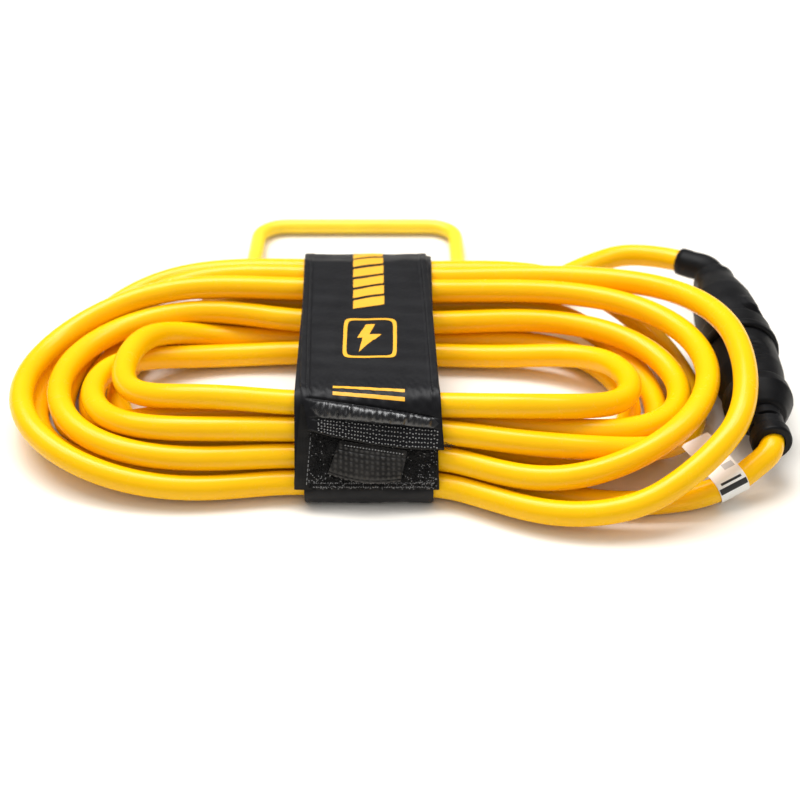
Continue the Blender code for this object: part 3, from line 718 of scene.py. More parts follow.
def core_line(pole):
    """One conductor: laid in a helix so that it meets its terminal at both ends."""
    a = math.radians(CORE_ANGLES[pole])
    aim = SIDE * math.cos(a) + UP * math.sin(a)
    _, normal, side = AXES
    start = math.atan2(aim @ normal[0], aim @ side[0])
    stop = math.atan2(aim @ normal[-1], aim @ side[-1]) + TAU * CORE_TURNS
    turn = start + (stop - start) * LENGTHS / LENGTHS[-1]
    return LINE + CORE_OFFSET * (normal * np.sin(turn)[:, None] + side * np.cos(turn)[:, None])


def terminal_at(name, s):
    """A place on a terminal's own line, s mm from the mating plane."""
    middle = node_middle(name)
    return middle + AXIS * (s - (middle - MATE) @ AXIS)


def build_cord():
    blend_from = (TAIL_SPLIT_X + 4, -100, FLOOR_Z)
    blend_to = (TAIL_FOLLOWS_PLUG_X, -112, FLOOR_Z)
    coil = slice(0, SPLIT + 1)
    tail = slice(SPLIT, len(LINE))
    main = tube("cord_coil", LINE[coil], CORD_R, 24, MATERIALS["cord"], axes_of(coil))
    dress(main, "coil", "cord_yellow", "cord_jacket")
    last = tube("cord_tail", LINE[tail], CORD_R, 24, MATERIALS["cord"], axes_of(tail))
    bend(last, "coil", "plug", blend_from, blend_to, "cord_yellow", "plug_tail_jacket")
    blades = {"hot": "plug_blade_hot", "neutral": "plug_blade_neutral",
              "ground": "plug_ground_pin"}
    for pole, blade in blades.items():
        line = core_line(pole)
        slot = {"hot": "wire_black", "neutral": "wire_white", "ground": "wire_green"}[pole]
        lead = [terminal_at("socket_contact_" + pole, s) for s in (29.6, 34.0, 39.0)]
        inner = resample(np.vstack([lead, line[:SPLIT]]), 7.0)
        core = tube("core_" + pole, inner, CORE_R, 8, MATERIALS[pole])
        dress(core, "coil", slot, "conductor_" + pole)
        lead = [terminal_at(blade, s) for s in (-39.0, -33.0, -27.6)]
        outer = resample(np.vstack([line[SPLIT:-1], lead]), 6.0)
        core = tube("tail_core_" + pole, outer, CORE_R, 8, MATERIALS[pole])
        bend(core, "coil", "plug", blend_from, blend_to, slot, "plug_wire_" + pole)


# ---------------------------------------------------------------- plug, socket and boots
def lathe(name, outside, inside, steps, relief, radius=1.3, pitch=1.0):
    """A closed profile turned about the mating axis; relief(s, angle, r) shapes its outside."""
    outer = fillet(outside, radius)
    s = arc_lengths(outer)
    even = np.union1d(s, np.linspace(0, s[-1], int(s[-1] / pitch)))
    even = even[np.concatenate([[True], np.diff(even) > 0.12])]
    outer = np.stack([np.interp(even, s, outer[:, k]) for k in (0, 1)], 1)
    profile = np.vstack([outer, np.array(inside, float)])
    angle = np.linspace(0, TAU, steps, endpoint=False)
    along_s = np.repeat(profile[:, :1], steps, 1)
    r = np.repeat(profile[:, 1:], steps, 1)
    rows = slice(1, len(outer) - 1)
    turn = np.repeat(angle[None, :], len(outer) - 2, 0)
    r[rows] = relief(along_s[rows], turn, r[rows])
    verts = (MATE + SIDE * (r * np.cos(angle))[..., None] + UP * (r * np.sin(angle))[..., None]
             + AXIS * along_s[..., None]).reshape(-1, 3)
    faces, _, _ = grid_faces(len(profile), steps, wrap_rows=True, wrap_cols=True)
    if outside[-1][0] > outside[0][0]:
        faces = faces[:, ::-1]
    return new_mesh(name, verts, faces, MATERIALS["rubber"], sharp=38)


def dimple(s, angle, middle_s, middle_angle, half_s, half_angle):
    """1 in the middle of an oval, falling smoothly to 0 at its edge."""
    turn = (angle - math.radians(middle_angle) + math.pi) % TAU - math.pi
    reach = np.sqrt(((s - middle_s) / half_s) ** 2 + (turn / math.radians(half_angle)) ** 2)
    return 1 - smooth_step(0.55, 1.0, reach)


def parting_line(angle, r):
    """The thin flash where the two halves of the mould met."""
    turn = (angle + math.pi / 2) % math.pi - math.pi / 2
    return 0.22 * np.exp(-((turn * r) / 0.45) ** 2)


def socket_relief(s, angle, r):
    """Thumb hollows on both sides with a raised rim above them."""
    r = r + parting_line(angle, r)
    for turn in (122, 302):
        r = r + 1.2 * dimple(s, angle, 17, turn, 8, 22)
        r = r - 3.0 * dimple(s, angle, 7.5, turn, 5.0, 22)
    return r


def plug_relief(s, angle, r):
    r = r + parting_line(angle, r)
    for turn in (90, 270):
        r = r - 1.4 * dimple(s, angle, -44, turn, 15, 34)
        for k in range(5):
            grip = np.exp(-((s + 34 + 5 * k) / 0.9) ** 2)
            r = r + 0.8 * grip * dimple(s, angle, -44, turn, 15, 30)
    return r


def boot_relief(s, angle, r):
    for row, middle in enumerate(BOOT_SLOTS):
        turn = angle + (math.pi / 2 if row % 2 else 0.0)
        flat = 9.2 / np.maximum(np.abs(np.cos(turn)), 0.05)
        inside = np.abs(s - middle) < 1.1
        r = np.where(inside, np.minimum(r, flat), r)
    return r


def build_connectors():
    body = lathe("socket_moulding", SOCKET_OUTSIDE, SOCKET_INSIDE, 128, socket_relief)
    dress(body, "coil", "moulded_black", "socket_body")
    body = lathe("plug_moulding", PLUG_OUTSIDE, PLUG_INSIDE, 128, plug_relief)
    dress(body, "plug", "moulded_black", "plug_body")
    boot = lathe("plug_strain_boot", BOOT_OUTSIDE, BOOT_INSIDE, 96, boot_relief, 0.8, 0.4)
    dress(boot, "plug", "moulded_black", "plug_boot")

    covered = (LENGTHS > 15) & (LENGTHS < 62)
    line = LINE[covered]
    s = arc_lengths(line)
    to_end = s - s[-1]
    swell = (SOCKET_BOOT_R + 2.0 * (1 - smooth_step(0, 9, s))
             + 0.7 * smooth_step(-3, 0, to_end + 2.5) - 0.8 * smooth_step(-1.2, 0.2, to_end))
    boot = tube("socket_strain_boot", line, swell, 40, MATERIALS["rubber"], axes_of(covered))
    dress(boot, "coil", "moulded_black", "socket_boot")


# ---------------------------------------------------------------- the strap's wrap
def hull(points):
    """The convex outline of 2-D points, clockwise from the lowest y."""
    def half(chain_points):
        chain = []
        for p in chain_points:
            while len(chain) > 1:
                a, b = chain[-2], chain[-1]
                if (b[0] - a[0]) * (p[1] - a[1]) - (b[1] - a[1]) * (p[0] - a[0]) > 1e-9:
                    break
                chain.pop()
            chain.append(p)
        return chain
    points = sorted(map(tuple, points))
    lower = half(points)
    upper = half(points[::-1])
    return np.array((lower + upper[1:-1])[::-1])


def wrap_outline():
    """Where the strap's own line runs: y, z and the outward normal at each 0.5 mm of t."""
    crossings = np.nonzero((LINE[:-1, 0] * LINE[1:, 0] <= 0) & (~ON_TAIL[:-1]))[0]
    cloud = []
    radius = CORD_R + WRAP_OFFSET
    for k in crossings:
        for a in np.linspace(0, TAU, 96, endpoint=False):
            cloud.append((LINE[k, 1] + radius * math.cos(a), LINE[k, 2] + radius * math.sin(a)))
    outline = hull(cloud)
    foot = np.argmin(outline[:, 1] * 1000 + outline[:, 0])
    outline = np.vstack([outline[foot:], outline[:foot], outline[foot:foot + 1]])
    s = arc_lengths(outline)
    t = np.arange(0, s[-1], 0.5)
    y = np.interp(t, s, outline[:, 0])
    z = np.interp(t, s, outline[:, 1])
    for _ in range(12):
        y = y / 2 + (np.roll(y, 1) + np.roll(y, -1)) / 4
        z = z / 2 + (np.roll(z, 1) + np.roll(z, -1)) / 4
    dy = np.roll(y, -1) - np.roll(y, 1)
    dz = np.roll(z, -1) - np.roll(z, 1)
    length = np.hypot(dy, dz)
    return t, y, z, -dz / length, dy / length


WRAP = wrap_outline()
WRAP_LENGTH = WRAP[0][-1] + 0.5


def on_wrap(x, t, h):
    """The place x across, t round and h out from the wrap."""
    x, t, h = np.broadcast_arrays(np.asarray(x, float), np.asarray(t, float) % WRAP_LENGTH,
                                  np.asarray(h, float))
    y, z, ny, nz = (np.interp(t, WRAP[0], WRAP[k], period=WRAP_LENGTH) for k in (1, 2, 3, 4))
    return np.stack([x, y + ny * h, z + nz * h], -1)


def solid_sheet(name, x, t, top, bottom, material, closed=False):
    """A sheet of fabric on the wrap between two heights, over a grid of x and t."""
    outer = on_wrap(x, t, top)
    inner = on_wrap(x, t, bottom)
    return thick_grid(name, outer, inner, x, t, material, closed)


def thick_grid(name, outer, inner, u, v, material, closed=False):
    """A solid between two grids of points: rows run along v, columns along u."""
    rows, cols = outer.shape[:2]
    section = np.concatenate([outer, inner[:, ::-1]], 1)
    faces, ci, cj = grid_faces(rows, 2 * cols, wrap_rows=closed, wrap_cols=True)
    uu = np.concatenate([u, u[:, ::-1]], 1)
    vv = np.concatenate([v, v[:, ::-1]], 1)
    uv = np.stack([uu[ci % rows, cj % (2 * cols)], vv[ci % rows, cj % (2 * cols)]], -1) / 100
    faces = [list(map(int, f)) for f in faces]
    uv = uv.reshape(-1, 2)
    if not closed:
        for row, flip in ((0, True), (rows - 1, False)):
            for k in range(cols - 1):
                a, b = row * 2 * cols + k, row * 2 * cols + k + 1
                c, d = row * 2 * cols + 2 * cols - 2 - k, row * 2 * cols + 2 * cols - 1 - k
                faces.append([a, b, c, d] if flip else [d, c, b, a])
        uv = np.vstack([uv, np.zeros((8 * (cols - 1), 2))])
    return new_mesh(name, section.reshape(-1, 3), faces, material, uv, sharp=50)


def hem_profile(x, left, right):
    """Extra height of a folded hem along both side edges, with its sewn groove."""
    edge = np.minimum(x - left, right - x)
    fold = 0.45 * (1 - smooth_step(HEM + 0.4, HEM + 1.6, edge))
    round_off = -0.5 * (1 - smooth_step(0.0, 0.9, edge))
    groove = -0.35 * np.exp(-((edge - HEM + 0.9) / 0.5) ** 2)
    return fold + groove + round_off


def cover_t(row_t, x):
    """The cover's slanted lower edge, easing out to straight rows above the hem."""
    return row_t + (along(FLAP_EDGE, x) - 50.0) * (1 - np.clip((row_t - 50.0) / 45.0, 0, 1))


def cover_top(x, t):
    """Height of the printed cover's face: flat on top, a puffed hem, then the end band."""
    left = along(COVER_LEFT, t)
    right = along(COVER_RIGHT, t)
    crest = along(RIDGE, x)
    edge = np.minimum(x - left, right - x)
    base = -0.4 + 3.2 * (1 - smooth_step(66, 96, t))
    d = np.abs(t - crest) / along(RIDGE_HALF, x)
    puff = np.sqrt(np.clip(1 - d * d, 0, 1)) * smooth_step(2.0, 14, edge)
    swell = 3.2 + 0.9 * np.sin(x / 8.0 + 1.0) + 0.4 * np.sin(x / 2.9)
    crinkle = ripples(x, t, 5, 7, 15, 2.8, (-0.5, 0.5))
    base = base + puff * (swell + 0.75 * crinkle)
    base = base - 0.8 * np.exp(-((d - 1.15) / 0.16) ** 2) * smooth_step(0, 6, edge)
    slack = ripples(x, t, 11, 6, 60, 16)
    calm = smooth_step(84, 110, t)
    base = base + 0.28 * slack * calm + 0.15 * ripples(x, t, 3, 5, 12, 4) * (1 - calm)
    hem = hem_profile(x, left, right) * smooth_step(70, 92, t)
    return base + hem


def cover_mesh(name, thick, material):
    """The cover's cloth, with finer rows over the puffed hem and finer columns at its sides."""
    row_t = np.concatenate([np.arange(50.0, 90.0, 0.42), np.arange(90.0, COVER_BACK, 1.1)])
    row_t = row_t[:, None]
    f = np.linspace(0, 1, 150)[None, :]
    f = f - 0.06 * np.sin(TAU * f)
    x = 0 * f + 0 * row_t
    t = row_t + 0 * x
    for _ in range(3):
        left = along(COVER_LEFT, t)
        right = along(COVER_RIGHT, t)
        x = left + (right - left) * f
        t = cover_t(row_t, x)
    top = cover_top(x, t)
    return solid_sheet(name, x, t, top, top - thick, material)


def hinge_t(joint):
    """Where a hinge on the strap's front lies round the wrap."""
    pivot = np.array(JOINTS[joint]["pos_m"]) / MM
    front = slice(0, 300)
    away = np.hypot(WRAP[1][front] - pivot[1], WRAP[2][front] - pivot[2])
    return WRAP[0][front][np.argmin(away)]


def flap_blend(ob, slot, *nodes):
    """Bakes a piece of the cover in place and hides the CAD nodes it stands for."""
    t = hinge_t("flap_peel")
    return bend(ob, "coil", "flap", on_wrap(0, t + 7, 0), on_wrap(0, t - 5, 0), slot, *nodes)


def tab_blend(ob, slot, *nodes):
    """Bakes a piece of the tab in place and hides the CAD nodes it stands for."""
    t = hinge_t("pull_tab_lift")
    return bend(ob, "flap", "tab", on_wrap(0, t + 1, 0), on_wrap(0, t - 4.5, 0), slot, *nodes)


def stitch_row(name, x, t, height, pitch, length, radius, material):
    """A line of sewn stitches through the given places."""
    place = on_wrap(np.asarray(x, float), np.asarray(t, float), 0.0)
    s = arc_lengths(place)
    begin_s = np.arange(pitch / 2, s[-1] - length, pitch)
    def at(v):
        xx = np.interp(v, s, x)
        tt = np.interp(v, s, t)
        return on_wrap(xx, tt, height(xx, tt))
    return spindles(name, at(begin_s), at(begin_s + length), radius, material)


def build_cover():
    cover = cover_mesh("printed_cover", 0.9, MATERIALS["satin"])
    cover.data.materials.append(MATERIALS["puffed"])
    layer = cover.data.uv_layers.active.data
    for face in cover.data.polygons:
        x, t = (100.0 * v for v in layer[face.loop_start].uv)
        ends = float(smooth_step(-34, -25, x) * (1 - smooth_step(41, 46, x)))
        reach = along(RIDGE_HALF, x) * math.sqrt(ends)
        face.material_index = int(abs(t - along(RIDGE, x)) < reach)
    flap_blend(cover, "strap_fabric", "printed_panel", "strap_flap")

    rows = []
    t = np.linspace(86, COVER_BACK - 4, 200)
    for side, table, sign in (("left", COVER_LEFT, 1), ("right", COVER_RIGHT, -1)):
        x = along(table, t) + sign * (HEM - 0.9)
        rows.append(stitch_row("edge_" + side, x, t, lambda a, b: cover_top(a, b) + 0.12,
                               3.1, 2.3, 0.26, MATERIALS["seam"]))
    seams = join("cover_seams", rows)
    flap_blend(seams, "strap_fabric")
    build_end_band()
    build_print()


def build_end_band():
    """Bartacks, zigzag rows and raw edge that finish the cover's lower end."""
    rows = []
    x = np.linspace(-30, 47, 240)
    edge = along(FLAP_EDGE, x)
    crest = along(RIDGE, x)
    low = edge + 1.2
    high = crest - along(RIDGE_HALF, x) - 1.4
    for k in range(5):
        zig = 0.45 * np.sin(x * TAU / 4.2 + math.pi * k)
        t = low + (high - low) * k / 4 + zig
        rows.append(stitch_row("band_%d" % k, x, t, lambda a, b: cover_top(a, b) + 0.25,
                               2.1, 1.05, 0.42, MATERIALS["thread"]))
    lip_x = np.linspace(-35, 49.4, 90)
    lip = on_wrap(lip_x, along(FLAP_EDGE, lip_x) + 0.2, cover_top(lip_x, along(FLAP_EDGE, lip_x))
                  - 0.35 + 0.12 * np.sin(lip_x * 1.9))
    rows.append(tube("lip", lip, 0.75, 8, MATERIALS["webbing"]))
    band = join("end_band", rows)
    flap_blend(band, "strap_fabric")

    rng = np.random.RandomState(8)
    threads = []
    for k in range(7):
        x0 = 48.5 - 1.2 * rng.rand()
        t0 = 51.5 + 2.4 * rng.rand()
        steps = np.linspace(0, 1, 12)
        reach = 3.5 + 6.5 * rng.rand()
        droop = rng.uniform(-5, 2.5)
        x = x0 + reach * steps
        t = t0 + droop * steps ** 2 + 0.7 * np.sin(steps * 6 + k)
        threads.append(tube("fray_%d" % k, on_wrap(x, t, 2.6 - 2.0 * steps + 0.5 * np.cos(7 * steps
                            + k)), 0.16, 5, MATERIALS["webbing"]))
    frayed = join("frayed_threads", threads)
    dress(frayed, "flap", "strap_fabric")


# ---------------------------------------------------------------- print on the cover
def film(name, x, t):
    """A thin printed shape over a grid of x and t."""
    top = cover_top(x, t) + 0.14
    return solid_sheet(name, x, t, top, top - 0.12, MATERIALS["ink"])


def block(name, corners, columns=8, rows=8):
    """A printed four-sided block; corners are (x, t) in order round it."""
    a, b, c, d = (np.array(p, float) for p in corners)
    u = np.linspace(0, 1, columns)[None, :, None]
    v = np.linspace(0, 1, rows)[:, None, None]
    p = (a * (1 - u) + b * u) * (1 - v) + (d * (1 - u) + c * u) * v
    return film(name, p[..., 0], p[..., 1])


def border(name, middle, half, width):
    """A printed line round a rectangle with rounded corners."""
    angle = np.linspace(0, TAU, 161)[:, None]
    square = (np.abs(np.cos(angle)) ** 8 + np.abs(np.sin(angle)) ** 8) ** -0.125
    out = np.array([[1.0, 0.0]]) * width
    x = middle[0] + (half[0] - width + out) * np.cos(angle) * square
    t = middle[1] + (half[1] - width + out) * np.sin(angle) * square
    return film(name, x, t)


def build_print():
    """Plain generic marks: slanted bars, a bolt in a rounded box, and two solid stripes."""
    parts = []
    for k in range(BAR_COUNT):
        low = BAR_FIRST_T + BAR_PITCH * k
        mid = 0.9 - 0.02 * (low - BAR_FIRST_T)
        left, right = mid - BAR_HALF, mid + BAR_HALF
        parts.append(block("bar", [(left, low), (right, low + BAR_RISE),
                                   (right, low + BAR_RISE + BAR_TALL), (left, low + BAR_TALL)],
                           10, 10))
    parts.append(border("box", BOX_MIDDLE, BOX_HALF, BOX_LINE))
    bolt = [[(5.5, 171), (-0.5, 171), (-6.0, 153.5), (1.0, 153.5)],
            [(1.0, 153.5), (-2.4, 153.5), (-4.5, 135), (-2.6, 138)],
            [(10.0, 157.0), (1.0, 157.0), (-1.5, 150.2), (5.4, 150.2)],
            [(5.4, 151.4), (0.0, 151.4), (-4.5, 135), (-4.3, 135.4)]]
    for k, corners in enumerate(bolt):
        parts.append(block("bolt_%d" % k, corners))
    for left, right, t in STRIPES:
        end = t + STRIPE_LEAN * (right - left)
        parts.append(block("stripe", [(left, t - STRIPE_HALF), (right, end - STRIPE_HALF),
                                      (right, end + STRIPE_HALF), (left, t + STRIPE_HALF)],
                           30, 4))
    print_piece = join("cover_print", parts)
    flap_blend(print_piece, "strap_fabric")


# ---------------------------------------------------------------- band, loop panel, tab
def build_band():
    """The doubled webbing that goes right round the coil under everything else."""
    t = np.arange(0, WRAP_LENGTH, 2.2)[:, None]
    f = np.linspace(0, 1, 60)[None, :]
    from_foot = (t + WRAP_LENGTH / 2) % WRAP_LENGTH - WRAP_LENGTH / 2
    foot_in = smooth_step(-40, 0, from_foot) * (1 - smooth_step(24, 31, from_foot))
    left = -44.0 + 6.0 * foot_in
    right = 44.0 - 1.0 * foot_in
    x = left + (right - left) * f
    t = t + 0 * f
    edge = np.minimum(f, 1 - f) * 88.0
    lump = 0.25 * ripples(x, t, 21, 6, 50, 9)
    top = BAND_H[1] + lump - 0.45 * (1 - smooth_step(0, 1.0, edge))
    foot = np.exp(-((t - 12.5) / 9.0) ** 2)
    top = top + 1.3 * foot
    band = solid_sheet("strap_wrap", x, t, top, np.minimum(BAND_H[0] + 0 * t, top - 0.9),
                       MATERIALS["satin"], closed=True)
    dress(band, "coil", "strap_fabric", "strap_band")


def loop_top(x, t):
    """Height of the loop panel's face, with the swell of the strands beneath it."""
    edge = np.minimum(x + 44.2, 46.5 - x)
    swell = 0.35 * np.sin(t / 15.5 * TAU + 0.8) + 0.2 * ripples(x, t, 31, 5, 40, 10)
    return LOOP_H[1] + 0.25 + swell - 0.6 * (1 - smooth_step(0, 1.4, edge))


def build_loop_panel():
    t = np.linspace(24.0, 78.0, 90)[:, None]
    f = np.linspace(0, 1, 120)[None, :]
    left = -44.2 + 0.09 * np.maximum(t - 30, 0)
    right = 46.6 - 0.03 * (t - 24)
    x = left + (right - left) * f
    t = t + 0 * f
    rough = 0.16 * ripples(x, t, 41, 8, 4.5, 1.7) * smooth_step(7.0, 9.5, x - left)
    top = loop_top(x, t) + rough
    sheet = solid_sheet("loop_sheet", x, t, top, LOOP_H[0] + 0 * t, MATERIALS["webbing"])

    rng = np.random.RandomState(3)
    px = rng.uniform(-35.0, 45.5, LOOP_COUNT)
    pt = rng.uniform(25.0, 76.0, LOOP_COUNT)
    turn = rng.uniform(0, TAU, LOOP_COUNT)
    size = rng.uniform(0.55, 1.15, LOOP_COUNT)
    arc = np.linspace(0, math.pi, 5)
    sides = 4
    verts = []
    for a in arc:
        x = px + np.cos(turn) * size * math.cos(a)
        t = pt + np.sin(turn) * size * math.cos(a)
        h = loop_top(px, pt) - 0.2 + size * 1.0 * math.sin(a)
        for b in np.linspace(0, TAU, sides, endpoint=False):
            verts.append(on_wrap(x - np.sin(turn) * LOOP_R * math.cos(b),
                                 t + np.cos(turn) * LOOP_R * math.cos(b),
                                 h + LOOP_R * math.sin(b)))
    verts = np.stack(verts, 1)
    one, _, _ = grid_faces(5, sides, wrap_cols=True)
    one = [list(map(int, f)) for f in one] + [[3, 2, 1, 0], [16, 17, 18, 19]]
    faces = [[v + k * 5 * sides for v in f] for k in range(LOOP_COUNT) for f in one]
    pile = new_mesh("loops", verts.reshape(-1, 3), faces, MATERIALS["pile"])
    panel = join("loop_face", [sheet, pile])
    dress(panel, "coil", "loop_fabric", "loop_panel")

    x = np.linspace(-33, 45, 160)
    rows = []
    for k, level in enumerate((26.0, 28.6)):
        t = level + np.where(np.arange(160) % 4 < 2, 0.5, -0.5)
        rows.append(stitch_row("foot_%d" % k, x, t, lambda a, b: loop_top(a, b) + 0.35,
                               2.4, 1.6, 0.34, MATERIALS["thread"]))
    t = np.linspace(26, 76, 60)
    rows.append(stitch_row("binding", -36.2 + 0.09 * (t - 30), t,
                           lambda a, b: loop_top(a, b) + 0.25, 2.8, 2.0, 0.28,
                           MATERIALS["thread"]))
    # Light grey thread specks scattered over the pile, densest near its lower edge and right end:
    # painted glints standing in for light caught by the loops.
    x = np.concatenate([rng.uniform(-35, 45, 120), rng.uniform(-35, 45, 150),
                        rng.uniform(33, 45, 60)])
    t = np.concatenate([rng.uniform(25, 72, 120), 25 + 12 * rng.uniform(0, 1, 150) ** 1.5,
                        rng.uniform(26, 60, 60)])
    turn = rng.uniform(0, TAU, len(x))
    dx = 0.3 * np.cos(turn)
    dt = 0.3 * np.sin(turn)
    top = loop_top(x, t) + 0.95
    rows.append(spindles("painted_glint_specks", on_wrap(x - dx, t - dt, top), on_wrap(x + dx, t + dt,
                         top - 0.1), 0.3, MATERIALS["thread"]))
    dress(join("loop_seams", rows), "coil", "strap_fabric")


def weave(u, v, cell_u, cell_v):
    """Height of plain-woven yarns, from 0 to 1: one dome to each crossing, high and low."""
    dome = np.sqrt(np.abs(np.sin(math.pi * u / cell_u) * np.sin(math.pi * v / cell_v)))
    over = (np.floor(u / cell_u) + np.floor(v / cell_v)) % 2
    return dome * (0.7 + 0.3 * over)


def build_tab():
    """The pull tab: webbing folded back on itself, standing a little off the loop panel."""
    u = np.linspace(0, 1, 118)[None, :]
    path = [(0.0, 0.45), (0.12, 0.9), (0.3, 2.2), (0.5, 3.2), (0.8, 3.6), (0.98, 2.6),
            (1.01, 1.5), (0.96, 0.5), (0.7, 0.45), (0.35, 0.25), (0.0, -0.05)]
    line = resample(np.array(path) * (20.0, 1.0), 0.42)
    step = np.gradient(line, axis=0)
    out = unit(np.stack([-step[:, 1], step[:, 0]], 1))
    s = arc_lengths(line)[:, None]
    top_t = 55.4 - 6.4 * u
    low_t = 35.2 - 4.6 * u - 3.2 * np.sin(math.pi * u)
    left = -15.6 - 0.36 * line[:, :1] * (1 + 0 * u)
    right = 26.6 - 0.2 * line[:, :1] * (1 + 0 * u)
    x = left + (right - left) * u
    crown = 0.45 + 0.55 * np.sin(math.pi * np.clip(u * 1.04 - 0.02, 0, 1)) ** 0.6
    down = line[:, :1] / 20.0
    t = top_t + (low_t - top_t) * down
    pattern = weave(x + 0 * s, s + 0 * u, *TAB_CELL)
    h = line[:, 1:] * crown + 0.5
    lift = 0.9 * pattern * (0.25 + 0.75 * smooth_step(1.0, 6.0, line[:, :1]))
    outer = on_wrap(x, t - out[:, :1] * lift, h + out[:, 1:] * lift)
    inner = on_wrap(x, t + out[:, :1] * 0.8, h - out[:, 1:] * 0.8)
    tab = thick_grid("webbing_tab", outer, inner, x, s + 0 * u, MATERIALS["tab"])
    tab_blend(tab, "strap_fabric", "pull_tab")

    x = np.linspace(-13.5, 25.0, 80)
    f = (x + 15.6) / 42.2
    t = 55.4 - 6.4 * f - 2.4
    row = stitch_row("tab_stitches", x, t, lambda a, b: 2.1 + 0 * a, 1.9, 1.1, 0.42,
                     MATERIALS["thread"])
    tab_blend(row, "strap_fabric")


def build_hook_patch():
    """The hooked face under the flap, seen when the flap is peeled."""
    t = np.linspace(58.5, 77.5, 30)[:, None]
    f = np.linspace(0, 1, 60)[None, :]
    x = -32.0 + 76.0 * f + 0 * t
    t = t - 0.08 * (x - 6)
    sheet = solid_sheet("hook_sheet", x, t, 0.9 + 0 * t, 0.35 + 0 * t, MATERIALS["webbing"])
    gx, gt = np.meshgrid(np.arange(-31, 43.5, 1.7), np.arange(59.5, 77, 1.5), indexing="ij")
    gx = gx.ravel() + 0.4 * (np.arange(gx.size) % 2)
    gt = gt.ravel() - 0.08 * (gx - 6)
    hooks = spindles("hooks", on_wrap(gx, gt, 0.5), on_wrap(gx + 0.25, gt, -0.35), 0.22,
                     MATERIALS["pile"], 4)
    dress(join("hook_face", [sheet, hooks]), "flap", "loop_fabric", "hook_patch")


# ---------------------------------------------------------------- keeper, handle, label
def build_keeper():
    """Webbing sewn flat to the strap's back, looped round the handle's lower bar."""
    pivot = np.array(JOINTS["handle_swing"]["pos_m"]) / MM
    t = WRAP[0]
    back = (t > WRAP_LENGTH * 0.5) & (WRAP[2] < 30)
    def back_t(z):
        rows = np.nonzero(back & (WRAP[1] > 90))[0]
        return t[rows[np.argmin(np.abs(WRAP[2][rows] - z))]]
    high, low = back_t(26.0), back_t(9.5)
    face = [on_wrap(0, v, -0.9)[1:] for v in np.linspace(low, high, 6)]
    radius = HANDLE_R + 1.5
    arc = [pivot[1:] + radius * np.array([math.cos(a), math.sin(a)])
           for a in np.radians(np.linspace(112, -112, 16))]
    line = resample(np.vstack([face, arc, face[:1]]), 0.8)[:-1]
    step = np.roll(line, -1, 0) - np.roll(line, 1, 0)
    out = unit(np.stack([-step[:, 1], step[:, 0]], 1))
    middle = line.mean(0)
    if ((line - middle) * out).sum() < 0:
        out = -out
    x = np.linspace(KEEPER_LEFT, KEEPER_RIGHT, 100)[None, :]
    s = arc_lengths(line)[:, None]
    u = x + 0 * s
    v = s + 0 * x
    lift = 0.7 + 0.3 * weave(u + 60, v, 2.4, 2.1)
    def surface(h):
        yz = line[:, None, :] + out[:, None, :] * h[..., None]
        return np.concatenate([u[..., None], yz], -1)
    keeper = thick_grid("handle_keeper_loop", surface(lift), surface(-0.55 + 0 * u), u, v,
                        MATERIALS["webbing"], closed=True)
    dress(keeper, "coil", "strap_fabric", "handle_keeper")


def build_handle():
    low, high = (np.array(v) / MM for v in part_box("carry_handle"))
    pivot = np.array(JOINTS["handle_swing"]["pos_m"]) / MM
    far = np.array([high[1] - HANDLE_R, low[2] + HANDLE_R])
    reach = unit(far - pivot[1:]) * np.linalg.norm(far - pivot[1:])
    left, right = low[0] + HANDLE_R, high[0] - HANDLE_R
    corner = HANDLE_CORNER / np.linalg.norm(reach)
    outline = []
    quarter = np.radians(np.linspace(0, 90, 9))
    x_low, x_high = left + HANDLE_CORNER, right - HANDLE_CORNER
    for cx, cr, begin_a in ((x_high, corner, -90), (x_high, 1 - corner, 0),
                            (x_low, 1 - corner, 90), (x_low, corner, 180)):
        for a in quarter + math.radians(begin_a):
            outline.append((cx + HANDLE_CORNER * math.cos(a), cr + corner * math.sin(a)))
    outline = np.array(outline + outline[:1])
    s = arc_lengths(outline * (1, np.linalg.norm(reach)))
    even = np.linspace(0, s[-1], 260)[:-1]
    x = np.interp(even, s, outline[:, 0])
    f = np.interp(even, s, outline[:, 1])
    off = x - (left + right) / 2
    x = (left + right) / 2 + off * (1.0 - HANDLE_TAPER * f + np.where(off > 0, HANDLE_FLARE, 0.0))
    line = np.stack([x, pivot[1] + reach[0] * f, pivot[2] + reach[1] * f], 1)
    across = unit([1.0, 0, 0])
    along_reach = unit([0, *reach])
    normal = np.cross(across, along_reach)
    line = line - normal * (HANDLE_BOW * np.sin(math.pi * f))[:, None]
    tangent = unit(np.roll(line, -1, 0) - np.roll(line, 1, 0))
    side = unit(np.cross(tangent, normal))
    angle = np.linspace(0, TAU, 28, endpoint=False)
    flash = 0.16 * np.exp(-((np.cos(angle)) / 0.07) ** 2)
    r = HANDLE_R - 0.1 + flash
    verts = line[:, None, :] + (np.cos(angle) * r)[None, :, None] * normal \
        + (np.sin(angle) * r)[None, :, None] * side[:, None, :]
    faces, _, _ = grid_faces(len(line), len(angle), wrap_rows=True, wrap_cols=True)
    handle = new_mesh("handle_bail", verts.reshape(-1, 3), faces[:, ::-1], MATERIALS["handle"])
    dress(handle, "handle", "handle_yellow", "carry_handle")


